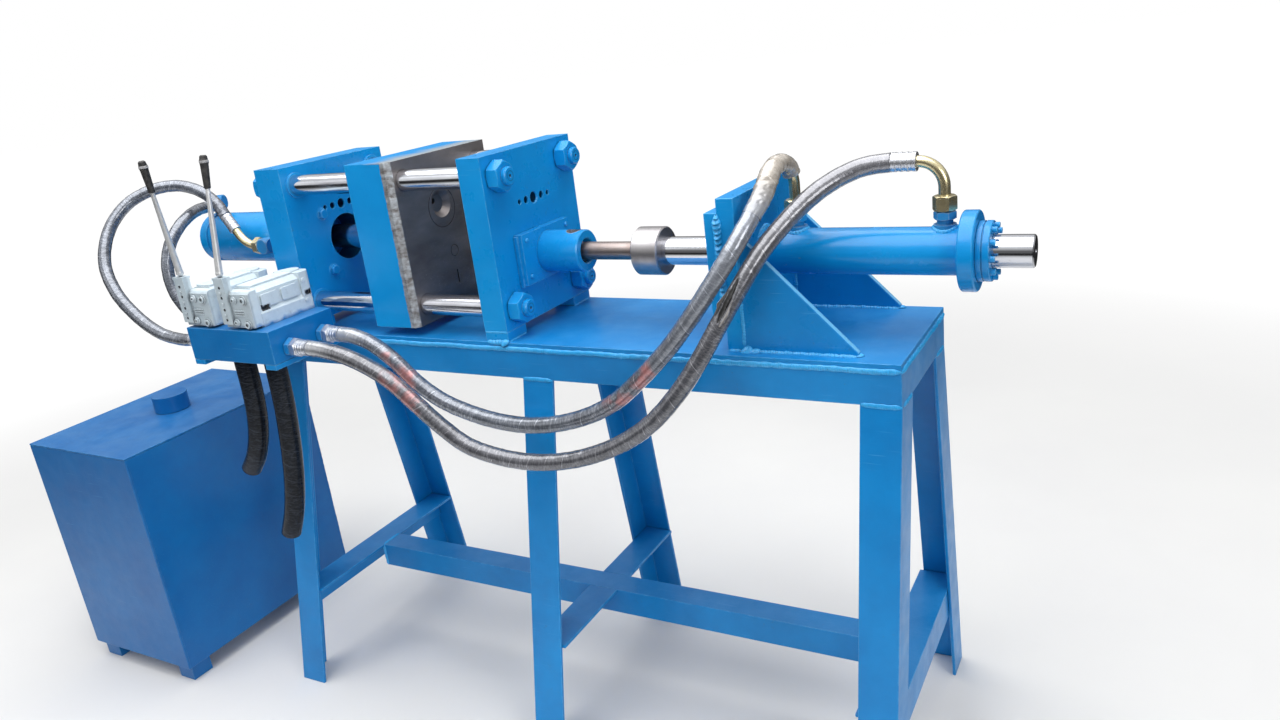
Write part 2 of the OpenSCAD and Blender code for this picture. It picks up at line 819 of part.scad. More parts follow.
// Elbows of the clamp cylinder, and the nut on each
clamp_port_y = mid_y - clamp_cyl_d / 2;
elbow_w = 30;
elbow_out = 32.5;
elbow_y = clamp_port_y - elbow_out;
elbow_nut_h = 16;
rear_elbow_up = 10;
rear_elbow_turn = 25;
crimp_l = 38;
// How far a boss reaches into its cylinder before it is cut to the barrel
boss_lap = 4;

// Weld boss, neck and hexagon adapter that stand on a cylinder, along +Z
module port_stack() {
    translate([0, 0, -boss_lap]) cylinder(h = boss_h + boss_lap, d = boss_d);
    translate([0, 0, boss_h]) cylinder(h = neck_h, d = neck_d);
    translate([0, 0, boss_h + neck_h]) hex_nut(adapter_h, adapter_af);
}

// Forged elbow body round the origin, with its corners turned off
elbow_corner_d = 43;

module elbow_body() {
    intersection() {
        cube(elbow_w, center = true);
        sphere(d = elbow_corner_d);
    }
}

// Elbow on the front of the clamp cylinder, with its neck and its nut towards the left
module front_elbow() {
    difference() {
        translate([clamp_port_x, clamp_port_y + boss_lap, clamp_z]) rotate([90, 0, 0])
            cylinder(h = elbow_out + boss_lap, d = neck_d);
        bar_x(clamp_port_x - boss_d, clamp_port_x + boss_d, mid_y, clamp_z, clamp_cyl_d + 2 * seam);
    }
    translate([clamp_port_x, elbow_y, clamp_z]) elbow_body();
}

// Elbow on top of the clamp cylinder's cap, turned towards the valve block
module at_rear_elbow() {
    translate([clamp_rear_port_x, mid_y, clamp_z + clamp_cyl_d / 2 + rear_elbow_up + elbow_w / 2])
        rotate([0, 0, rear_elbow_turn]) children();
}

module rear_elbow() {
    difference() {
        translate([clamp_rear_port_x, mid_y, clamp_z + clamp_cyl_d / 2 - boss_lap])
            cylinder(h = rear_elbow_up + boss_lap + 1, d = neck_d);
        bar_x(clamp_rear_port_x - boss_d, clamp_rear_port_x + boss_d, mid_y, clamp_z, clamp_cyl_d + 2 * seam);
    }
    at_rear_elbow() {
        elbow_body();
        translate([0, -elbow_w / 2, 0]) rotate([90, 0, 0]) hex_nut(elbow_nut_h, swivel_af);
    }
}

module port_fittings() {
    color(blue) placed() {
        for (x = [rear_port_x, front_port_x])
            difference() {
                translate([x, mid_y, port_base_z]) port_stack();
                bar_x(x - boss_d, x + boss_d, mid_y, shot_z, shot_cyl_d + 2 * seam);
            }
        front_elbow();
        rear_elbow();
    }
}

// Tube that runs up along +Z from the origin and then turns towards +X by angle a.
// The straight stretch reaches a little way into the bend.
module bent_tube(up, r, a) {
    cylinder(h = up + tube_lap, d = tube_d - 2 * fit);
    translate([0, 0, up]) rotate([90, 0, 0]) translate([r, 0, 0]) rotate([0, 0, 180 - a])
        rotate_extrude(angle = a) translate([r, 0]) circle(d = tube_d);
}

// Swivel nut below the origin, with a stub of the tube that it holds
module swivel_nut(h) {
    translate([0, 0, -h]) hex_nut(h, swivel_af);
    translate([0, 0, -tube_lap]) cylinder(h = 2 * tube_lap, d = tube_d - 2 * fit);
}

// Moves its children from the origin to the far end of such a tube
module at_tube_end(up, r, a) {
    translate([r * (1 - cos(a)), 0, up + r * sin(a)]) rotate([0, a, 0]) children();
}

tube_lap = 1;
rear_bend_r = 39;
rear_bend_a = 90;
rear_bend_dir = 180;
rear_tube_up = 13;
front_bend_r = 40;
front_bend_a = 137;
front_bend_dir = 258;
front_tube_up = 23;
clamp_tube_x = clamp_port_x - elbow_w / 2 - elbow_nut_h - seam;
clamp_bend_r = 60;
clamp_bend_a = 55;
clamp_tube_up = 10;

// Places of the three tubes, each with its first end on the origin along +Z
module at_rear_tube() {
    translate([rear_port_x, mid_y, tube_base_z]) rotate([0, 0, rear_bend_dir]) children();
}

module at_front_tube() {
    translate([front_port_x, mid_y, tube_base_z]) rotate([0, 0, front_bend_dir]) children();
}

module at_clamp_tube() {
    translate([clamp_tube_x, elbow_y, clamp_z]) rotate([0, -90, 0]) children();
}

// Each tube with its swivel nut. The clamp tube is drawn from its upper end,
// where its straight stretch is.
module bent_tubes() {
    color(zinc) placed() {
        at_rear_tube() {
            swivel_nut(nut_h);
            bent_tube(rear_tube_up, rear_bend_r, rear_bend_a);
        }
        at_front_tube() {
            swivel_nut(nut_h);
            bent_tube(front_tube_up, front_bend_r, front_bend_a);
        }
        at_clamp_tube() {
            swivel_nut(elbow_nut_h);
            at_tube_end(0, clamp_bend_r, clamp_bend_a)
                translate([0, 0, clamp_tube_up]) rotate([180, 0, 0])
                    bent_tube(clamp_tube_up, clamp_bend_r, clamp_bend_a);
        }
    }
}

// Bands that the crimping jaws press into a ferrule
crimp_bands = 3;
crimp_dip = 0.8;

// Crimped ferrule along +Z from z0 to the end of a hose end of length crimp_l
module ferrule(z0, d) {
    r = d / 2;
    z1 = crimp_l - seam;
    pitch = (z1 - z0) / (crimp_bands + 1);
    rotate_extrude() polygon(concat(
        [[0, z0], [r - crimp_dip, z0], [r, z0 + crimp_dip]],
        [for (k = [1 : crimp_bands]) let (z = z0 + k * pitch) each [
            [r, z - pitch / 3], [r - crimp_dip, z - pitch / 4],
            [r - crimp_dip, z + pitch / 4], [r, z + pitch / 3]
        ]],
        [[r, z1], [0, z1]]
    ));
}

// Hose end on the valve block along +Z: swivel nut, then ferrule
swivel_l = 13;

module hose_end(d) {
    translate([0, 0, seam]) hex_nut(swivel_l, swivel_af);
    ferrule(swivel_l - 1, d);
}

module hose_crimps() {
    color(steel) placed() {
        at_rear_tube() at_tube_end(rear_tube_up, rear_bend_r, rear_bend_a) ferrule(seam, hose_d);
        at_front_tube() at_tube_end(front_tube_up, front_bend_r, front_bend_a) ferrule(seam, hose_d);
        at_clamp_tube() at_tube_end(0, clamp_bend_r, clamp_bend_a)
            translate([0, 0, clamp_tube_up]) ferrule(seam, clamp_hose_d);
        at_rear_elbow() translate([0, -elbow_w / 2 - elbow_nut_h, 0]) rotate([90, 0, 0])
            ferrule(seam, clamp_hose_d);
        for (y = port_y) {
            translate([block_r + block_nut_l, y, port_z]) rotate([0, 90, 0]) hose_end(hose_d);
            translate([block_left - block_nut_l, y, port_z]) rotate([0, -90, 0]) hose_end(clamp_hose_d);
        }
    }
}

module valve_block() {
    color(blue) placed() block([block_left, block_y, top_z + seam], [block_r, block_y + block_d, block_top]);
}

// Width of the two strips that carry the valve block
shelf_w = 28;

module block_shelf() {
    color(blue) placed() {
        block([block_r - shelf_w, block_y, under_plate_z], [block_r, -seam, top_z]);
        block([block_left, block_y, under_plate_z], [block_left + shelf_w, -seam, top_z]);
    }
}

module block_fittings() {
    color(blue) placed() for (y = port_y) {
        nut_x(block_r + seam, block_r + block_nut_l, y, port_z, block_nut_af);
        nut_x(block_left - block_nut_l, block_left - seam, y, port_z, block_nut_af);
    }
}

// Lever valve, along Y from its front face. The front block carries the lever column
// at its left, a neck joins it to the body, and a rounded cap closes the rear.
front_block_l = 20;
front_block_up = 4;
front_block_out = 2;
front_slope_l = 6;
front_slope_h = 5;
neck_l = 2;
neck_in = 3;
rear_cap_l = 30;
rear_corner_r = 16;
// Drops from the full height of the casting: its crown, its shoulders and its end blocks
crown_drop = 5;
shoulder_drop = 14;
block_drop = 6;
cap_drop = 3;
// Side of the body: foot up to the ledge, slope, waist, and sloped shoulder
ledge_h = 25;
ledge_slope_h = 7;
waist_in = 5;
crown_in = 14;
pad_gap = 8;
pad_z = [ledge_h + ledge_slope_h + 3, valve_h - shoulder_drop - 6];
pad_corner = 4;
ridge_in = crown_in + 2;
dome_d = 34;
// Column of the lever, ahead of the front block
column_w = 28;
column_side = 5;
column_in = 2;
column_out = 6;
column_l = 18;
column_up = 11;
column_h = 100;
column_cap_t = 4;
column_hole_d = 6;
column_holes = [0.1, 0.33, 0.6, 0.83];
// Oval recesses in the right side
oval_d = 9;
oval_l = 17;
oval_in = 16;

// Rectangle from [x0, y0] to [x1, y1] with rounded corners of radius r
module round_rect(x0, y0, x1, y1, r) {
    translate([x0 + r, y0]) square([x1 - x0 - 2 * r, y1 - y0]);
    translate([x0, y0 + r]) square([x1 - x0, y1 - y0 - 2 * r]);
    for (x = [x0 + r, x1 - r], y = [y0 + r, y1 - r])
        translate([x, y]) circle(r = r);
}

// Front block with a sloped upper front edge, and the neck behind it
module valve_front_block() {
    h = valve_h - block_drop;
    w = valve_w + 2 * front_block_out;
    translate([-front_block_out, 0, 0]) rotate([90, 0, 90]) linear_extrude(height = w) polygon([
        [0, front_block_up], [front_block_l, front_block_up], [front_block_l, h],
        [front_slope_l, h], [0, h - front_slope_h]
    ]);
    translate([neck_in, front_block_l - 1, 0])
        cube([valve_w - 2 * neck_in, neck_l + 2, h - neck_in]);
}

// Body section: straight foot, ledge, drawn in waist and sloped shoulders
module valve_body(l) {
    w = valve_w;
    crown = valve_h - crown_drop;
    shoulder = valve_h - shoulder_drop;
    waist = ledge_h + ledge_slope_h;
    rotate([90, 0, 0]) translate([0, 0, -l]) linear_extrude(height = l) polygon([
        [0, 0], [w, 0], [w, ledge_h], [w - waist_in, waist], [w - waist_in, shoulder],
        [w - crown_in, crown], [crown_in, crown], [waist_in, shoulder], [waist_in, waist],
        [0, ledge_h]
    ]);
}

// Raised pads on both sides of the body, and one long ridge on its crown
module valve_pads(l) {
    pad_l = (l - 3 * pad_gap) / 2;
    for (y = [pad_gap, 2 * pad_gap + pad_l])
        translate([1, y, 0]) rotate([90, 0, 90]) linear_extrude(height = valve_w - 2)
            round_rect(0, pad_z[0], pad_l, pad_z[1], pad_corner);
    linear_extrude(height = valve_h - 1) round_rect(ridge_in, 2, valve_w - ridge_in, l, pad_corner);
}

// Rear cap with two rounded corners and a round boss on top
module valve_rear_cap(y0) {
    r = rear_corner_r;
    side = 1;
    linear_extrude(height = valve_h - cap_drop) {
        translate([side, y0]) square([valve_w - 2 * side, rear_cap_l - r]);
        translate([side + r, y0]) square([valve_w - 2 * (side + r), rear_cap_l]);
        for (x = [side + r, valve_w - side - r])
            translate([x, y0 + rear_cap_l - r]) circle(r = r);
    }
    translate([valve_w / 2, y0 + rear_cap_l - 1 - dome_d / 2, 0]) cylinder(h = valve_h, d = dome_d);
}

// Column that holds the lever, with four holes down its front and a cap on top
module lever_column() {
    translate([-column_side, -column_out, column_up]) {
        body_h = column_h - column_up - column_cap_t;
        difference() {
            translate([column_in, 0, 0]) cube([column_w - column_in, column_l - column_in, body_h]);
            for (share = column_holes)
                translate([column_w / 2, -1, share * body_h]) rotate([-90, 0, 0])
                    cylinder(h = column_hole_d, d = column_hole_d);
        }
        translate([0, 0, body_h]) cube([column_w, column_l, column_cap_t]);
    }
}

// Oval recess in the side of the valve at x
module oval_recess(x, y, z) {
    half = (oval_l - oval_d) / 2;
    for (side = [-half, half])
        bar_x(x - oval_d, x + 1, y + side, z, oval_d);
    block([x - oval_d, y - half, z - oval_d / 2], [x + 1, y + half, z + oval_d / 2]);
}

module valve_casting(x0) {
    body_y = front_block_l + neck_l;
    body_l = valve_l - body_y - rear_cap_l;
    translate([x0, block_y + valve_front_in, block_top + seam]) {
        difference() {
            union() {
                valve_front_block();
                translate([0, body_y, 0]) {
                    valve_body(body_l + 1);
                    valve_pads(body_l);
                }
                valve_rear_cap(body_y + body_l);
            }
            for (y = [body_y + oval_in, valve_l - oval_in])
                oval_recess(valve_w, y, ledge_h + oval_d);
        }
        lever_column();
    }
}

// Places of the valves on the block, and of the levers' pivots on the columns' caps
valve_front_in = 6;
valve_end_in = 38;
valve_pitch = 113;
right_valve_x = block_r - valve_w - valve_end_in;
left_valve_x = right_valve_x - valve_pitch;
lever_ball_d = 14;
lever_x = column_w / 2 - column_side;
lever_y = block_y + valve_front_in - column_out + column_l / 2;
lever_z = block_top + 2 * seam + column_h + lever_ball_d / 2;

module right_valve() {
    color(cast) placed() valve_casting(right_valve_x);
}

module left_valve() {
    color(cast) placed() valve_casting(left_valve_x);
}

// Flared grip with a ring below its domed end, along +Z from the origin
grip_l = 60;
grip_profile = [
    [0, 0], [5, 0], [6, 2], [7.5, 44], [8.5, 47], [8.5, 50], [7.5, 52], [6.5, 58], [4.5, 60], [0, 60]
];

// Tapered lever on its ball, which is at the origin
module lever(lean) {
    rotate([lean, 0, 0]) {
        sphere(d = lever_ball_d);
        cylinder(h = lever_l - grip_l, d1 = lever_d, d2 = lever_tip_d);
        translate([0, 0, lever_l - grip_l]) rotate_extrude() polygon(grip_profile);
    }
}

module right_lever() {
    color(steel) placed()
        translate([right_valve_x + lever_x, lever_y, lever_z]) lever(-right_lever_lean);
}

module left_lever() {
    color(steel) placed()
        translate([left_valve_x + lever_x, lever_y, lever_z]) lever(left_lever_lean);
}

// Sheet of the tank, its feet and its filler neck
tank_t = 4;
tank_foot_w = 50;
tank_foot_in = 12;
filler_h = 40;
filler_d = 80;
tank_top_z = tank_foot_h + tank_h;
tank_back = tank_l - tank_y;

module oil_tank() {
    t = tank_t;
    color(blue) placed() difference() {
        block([left_end, -tank_y, tank_foot_h], [-tank_x, tank_back, tank_top_z - t]);
        block([left_end + t, -tank_y + t, tank_foot_h + t], [-tank_x - t, tank_back - t, tank_top_z]);
    }
}

module tank_lid() {
    color(blue) placed()
        block([left_end, -tank_y, tank_top_z - tank_t + seam], [-tank_x, tank_back, tank_top_z]);
}

module tank_feet() {
    w = tank_foot_w;
    in = tank_foot_in;
    color(blue) placed()
        for (x = [left_end + in, -tank_x - in - w], y = [-tank_y + in, tank_back - in - w])
            block([x, y, 0], [x + w, y + w, tank_foot_h - seam]);
}

module tank_filler() {
    color(blue) placed() translate([left_end + tank_w / 2, -tank_y + tank_l / 2, tank_top_z + seam])
        cylinder(h = filler_h, d = filler_d);
}

// Hose swept along a route of points, with a ring of corners at each point
function unit(v) = v / norm(v);
function heading(p, i) = unit(p[min(i + 1, len(p) - 1)] - p[max(i - 1, 0)]);
function ring(c, t, r, n) = let (
        up = abs(t[2]) > 0.9 ? [0, 1, 0] : [0, 0, 1],
        a = unit(cross(t, up)),
        b = cross(a, t)
    ) [for (k = [0 : n - 1]) c + r * (cos(360 * k / n) * a + sin(360 * k / n) * b)];

hose_sides = 10;

module hose(route, d) {
    n = hose_sides;
    last = len(route) - 1;
    points = [for (i = [0 : last]) each ring(route[i], heading(route, i), d / 2, n)];
    skin = [for (i = [0 : last - 1], k = [0 : n - 1]) let (
            p = i * n + k,
            q = i * n + (k + 1) % n
        ) each [[p, p + n, q + n], [p, q + n, q]]];
    start = [[for (k = [0 : n - 1]) k]];
    finish = [[for (k = [n - 1 : -1 : 0]) last * n + k]];
    polyhedron(points, concat(skin, start, finish), convexity = 4);
}

module front_shot_hose() {
    color(black) placed() hose(front_shot_route, hose_d);
}

module rear_shot_hose() {
    color(black) placed() hose(rear_shot_route, hose_d);
}

module clamp_front_hose() {
    color(black) placed() hose(clamp_front_route, clamp_hose_d);
}

module clamp_rear_hose() {
    color(black) placed() hose(clamp_rear_route, clamp_hose_d);
}

module left_drain_hose() {
    color(black) placed() hose(left_drain_route, drain_hose_d);
}

module right_drain_hose() {
    color(black) placed() hose(right_drain_route, drain_hose_d);
}

table_top();
long_rails();
end_rails();
front_left_leg();
front_middle_leg();
front_right_leg();
back_left_leg();
back_middle_leg();
back_right_leg();
left_cross_bar();
middle_cross_bars();
right_cross_bar();
lower_rail();
clamp_platen();
moving_platen();
shot_platen();
packing_blocks();
tie_bars();
tie_bar_nuts();
clamp_cylinder();
clamp_ram();
sleeve_plates();
shot_sleeve();
plunger_rod();
rod_coupling();
shot_rod();
cylinder_front_flange();
bracket_plate();
bracket_gussets();
shot_cylinder();
rear_flange();
rear_gland();
port_fittings();
bent_tubes();
hose_crimps();
valve_block();
block_shelf();
block_fittings();
right_valve();
left_valve();
right_lever();
left_lever();
oil_tank();
tank_lid();
tank_feet();
tank_filler();
front_shot_hose();
rear_shot_hose();
clamp_front_hose();
clamp_rear_hose();
left_drain_hose();
right_drain_hose();
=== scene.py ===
# %% [markdown]
# # A small cold chamber die casting machine
#
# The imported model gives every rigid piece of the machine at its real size. This lesson dresses it: paint,
# chrome and bare steel, weld beads, bolts, and the hoses in their plastic wrap. The model is loaded first
# and never moved, so each thing made here is placed from the model's own boxes.

import math

import bpy
import numpy as np
from mathutils import Matrix, Vector


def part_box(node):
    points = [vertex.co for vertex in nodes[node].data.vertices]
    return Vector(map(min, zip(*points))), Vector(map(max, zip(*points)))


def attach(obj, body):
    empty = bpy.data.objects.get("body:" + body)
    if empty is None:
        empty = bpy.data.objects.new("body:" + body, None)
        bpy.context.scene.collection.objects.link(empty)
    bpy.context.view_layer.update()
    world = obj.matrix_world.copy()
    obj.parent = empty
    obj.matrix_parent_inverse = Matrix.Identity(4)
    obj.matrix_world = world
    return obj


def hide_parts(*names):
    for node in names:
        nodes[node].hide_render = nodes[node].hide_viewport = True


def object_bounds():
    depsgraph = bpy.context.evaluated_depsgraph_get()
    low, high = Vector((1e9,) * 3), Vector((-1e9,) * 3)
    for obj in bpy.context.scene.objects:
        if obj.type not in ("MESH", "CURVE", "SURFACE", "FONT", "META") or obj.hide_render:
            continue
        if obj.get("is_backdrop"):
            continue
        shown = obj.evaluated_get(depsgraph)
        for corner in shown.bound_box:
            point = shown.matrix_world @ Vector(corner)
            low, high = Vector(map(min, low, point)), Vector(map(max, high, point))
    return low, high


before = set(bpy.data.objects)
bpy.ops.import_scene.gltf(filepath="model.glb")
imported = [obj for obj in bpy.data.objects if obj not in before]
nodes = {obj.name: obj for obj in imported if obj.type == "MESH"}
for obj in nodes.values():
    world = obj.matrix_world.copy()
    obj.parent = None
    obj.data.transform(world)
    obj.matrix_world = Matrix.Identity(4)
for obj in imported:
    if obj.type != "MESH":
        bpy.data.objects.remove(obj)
cad_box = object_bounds()

# %% [markdown]
# Places on the machine are easiest to give from one corner of the table, as with a tape measure hooked on
# it: X to the right from the table's right end, Y to the back from its front edge, Z up from the floor.
# `place` turns such a point into the model's frame, and `box_of` gives a piece's two corners measured from
# the same corner of the table.

# %% Measuring from the table's corner
table_low, table_high = (np.array(corner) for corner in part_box("table_top"))
CORNER = np.array([table_high[0], table_low[1], 0.0])


def place(points):
    """points from the table's corner, in metres, as points in the model's frame."""
    return np.asarray(points, float) + CORNER


def box_of(node):
    """Lowest and highest corner of a CAD node, measured from the table's corner."""
    low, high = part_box(node)
    return np.array(low) - CORNER, np.array(high) - CORNER


TABLE_LOW, TABLE_HIGH = box_of("table_top")
print(f"table {TABLE_HIGH[0] - TABLE_LOW[0]:.3f} by {TABLE_HIGH[1] - TABLE_LOW[1]:.3f} m")

# %% [markdown]
# ## The camera
#
# The camera stands in front of the table's right end, 1.3 m above the floor, as for the photograph. It
# looks to the left, slightly down, and is turned a little clockwise. Its three directions come from the
# vanishing points of the table's edges, and the focal length in pixels of a 1280 pixel wide picture gives
# the lens.

# %% Camera
CAMERA_PLACE = (0.3417, -1.3348, 1.3052)
CAMERA_RIGHT = (0.8765, 0.4674, -0.1156)
CAMERA_DOWN = (0.0551, -0.3359, -0.9403)
CAMERA_AHEAD = (-0.4783, 0.8178, -0.3201)
FOCAL_PIXELS = 967.06
PICTURE_PIXELS = 1280
SENSOR_MM = 36.0


def make_camera():
    """Lens in millimetres = sensor width times focal pixels over picture pixels."""
    data = bpy.data.cameras.new("camera")
    data.sensor_width = SENSOR_MM
    data.lens = SENSOR_MM * FOCAL_PIXELS / PICTURE_PIXELS
    data.clip_start = 0.05
    data.clip_end = 100
    camera = bpy.data.objects.new("camera", data)
    bpy.context.scene.collection.objects.link(camera)
    turn = Matrix([CAMERA_RIGHT, tuple(-np.array(CAMERA_DOWN)), tuple(-np.array(CAMERA_AHEAD))]).transposed()
    camera.matrix_world = Matrix.Translation(Vector(place(CAMERA_PLACE))) @ turn.to_4x4()
    bpy.context.scene.camera = camera
    return camera


camera = make_camera()
print(f"lens {camera.data.lens:.1f} mm")

# %% [markdown]
# ## Surfaces from arrays
#
# Nearly every new piece is a grid of points: one parameter runs along a path, the other round a section.
# `grid_faces` joins such a grid with quads. A closed section joins its last column to its first, and the
# two ends can be capped with one face each. A `Pile` collects many small shapes, such as bolts, in one
# mesh.

# %% Grid meshes
def new_piece(name, points, faces, smooth=True):
    """A mesh object from an array of points and a list of faces."""
    mesh = bpy.data.meshes.new(name)
    mesh.from_pydata(np.asarray(points, float).tolist(), [], faces)
    mesh.polygons.foreach_set("use_smooth", np.full(len(mesh.polygons), smooth))
    mesh.update()
    piece = bpy.data.objects.new(name, mesh)
    bpy.context.scene.collection.objects.link(piece)
    return piece


def grid_faces(rows, columns, closed=True, caps=True, first=0):
    """Quads between neighbouring rows of a grid: (i, j), (i + 1, j), (i + 1, j + 1), (i, j + 1)."""
    i, j = np.meshgrid(np.arange(rows - 1), np.arange(columns if closed else columns - 1), indexing="ij")
    after = (j + 1) % columns
    here, below = i * columns, (i + 1) * columns
    quads = np.stack([here + j, below + j, below + after, here + after], -1)
    faces = (quads.reshape(-1, 4) + first).tolist()
    if closed and caps:
        faces.append([first + k for k in range(columns)])
        faces.append([first + (rows - 1) * columns + k for k in reversed(range(columns))])
    return faces


class Pile:
    """Many small shapes in one mesh: each grid's faces are numbered on from the points before it."""

    def __init__(self):
        self.points, self.faces, self.count = [], [], 0

    def add(self, grid, **how):
        rows, columns = grid.shape[:2]
        self.points.append(grid.reshape(-1, 3))
        self.faces += grid_faces(rows, columns, first=self.count, **how)
        self.count += rows * columns

    def piece(self, name, material, body="machine", slot="blue_paint", smooth=True):
        """The finished mesh, with its material, riding on a body. Flat shading suits facetted shapes."""
        made = new_piece(name, np.vstack(self.points), self.faces, smooth)
        made.data.materials.append(material)
        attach(made, body)
        print(f"{name}: {len(self.faces)} faces")
        return made


print("grid helpers ready")

# %% [markdown]
# A hose or a bead follows a line. Points along it could be joined straight, but a hose has no corners, so
# a Catmull-Rom curve, which passes through every point, is laid through them and then sampled at even
# steps. At each sample two side directions are carried along without twisting, and a section is drawn in
# them.

# %% Paths and tubes
def smooth_path(points, step):
    """A Catmull-Rom curve through the points, sampled about every step metres.

    Between p1 and p2 it is half of 2 p1 + (p2 - p0) t + (2 p0 - 5 p1 + 4 p2 - p3) t^2
    + (3 p1 - p0 - 3 p2 + p3) t^3, and the samples are then spaced evenly along its length."""
    p = np.asarray(points, float)
    p = np.vstack([2 * p[0] - p[1], p, 2 * p[-1] - p[-2]])
    t = np.linspace(0, 1, 24, endpoint=False)[:, None]
    parts = []
    for a, b, c, d in zip(p[:-3], p[1:-2], p[2:-1], p[3:]):
        square, cube = 2 * a - 5 * b + 4 * c - d, 3 * b - a - 3 * c + d
        parts.append((2 * b + (c - a) * t + square * t**2 + cube * t**3) / 2)
    return even_path(np.vstack(parts + [p[-2:-1]]), step)


def even_path(points, step):
    """The same line with its points about one step apart."""
    p = np.asarray(points, float)
    along = np.concatenate([[0], np.cumsum(np.linalg.norm(np.diff(p, axis=0), axis=1))])
    even = np.linspace(0, along[-1], max(2, round(along[-1] / step) + 1))
    return np.stack([np.interp(even, along, p[:, k]) for k in range(3)], -1)


def path_frames(path):
    """Distance along a path, and its tangent and two side directions at each point.

    The first side direction is the one before it, less its share along the new tangent, so the
    section doesn't twist along the path."""
    tangent = np.gradient(path, axis=0)
    tangent /= np.linalg.norm(tangent, axis=1)[:, None]
    start = np.array([0.0, 0.0, 1.0]) if abs(tangent[0, 2]) < 0.9 else np.array([0.0, 1.0, 0.0])
    sides = []
    side = start
    for t in tangent:
        side = side - t * side.dot(t)
        side /= np.linalg.norm(side)
        sides.append(side)
    side = np.array(sides)
    along = np.concatenate([[0], np.cumsum(np.linalg.norm(np.diff(path, axis=0), axis=1))])
    return along, tangent, side, np.cross(side, tangent)


def tube_points(path, radius, around):
    """Points of a tube: path + radius (cos a side + sin a other), with radius a number or a grid."""
    _, _, side, other = path_frames(path)
    a = np.linspace(0, 2 * np.pi, around, endpoint=False)
    ring = np.cos(a)[None, :, None] * side[:, None, :] + np.sin(a)[None, :, None] * other[:, None, :]
    return path[:, None, :] + np.broadcast_to(radius, (len(path), around))[..., None] * ring


def add_uv(piece, rows, columns, along, girth):
    """A UV map in metres for a closed grid: U runs along the path and V round the section."""
    mesh = piece.data
    layer = mesh.uv_layers.new(name="length_and_girth")
    corner = np.zeros(len(mesh.loops), np.int64)
    mesh.loops.foreach_get("vertex_index", corner)
    row, column = np.minimum(corner // columns, rows - 1), corner % columns
    uv = np.stack([np.asarray(along)[row], column * girth / columns], -1)
    quads = (rows - 1) * columns
    j = np.tile(np.arange(columns), rows - 1)
    last = np.repeat(j == columns - 1, 4)
    second = np.tile([False, False, True, True], quads)
    uv[: quads * 4, 1] = np.where(last & second, girth, uv[: quads * 4, 1])
    layer.data.foreach_set("uv", uv.ravel())


print("path helpers ready")

# %% [markdown]
# ## Hoses
#
# Four pressure hoses leave the valve block, and two thick ones hang from its underside with open ends. A
# hose is a fixed length of rubber, so its route is a list of chosen points, the same as in the
# solid model, and a smooth curve is laid through them. The pressure hoses are wound in clear plastic film:
# each turn of the film overlaps the one before it, which leaves a small step that climbs round the hose.

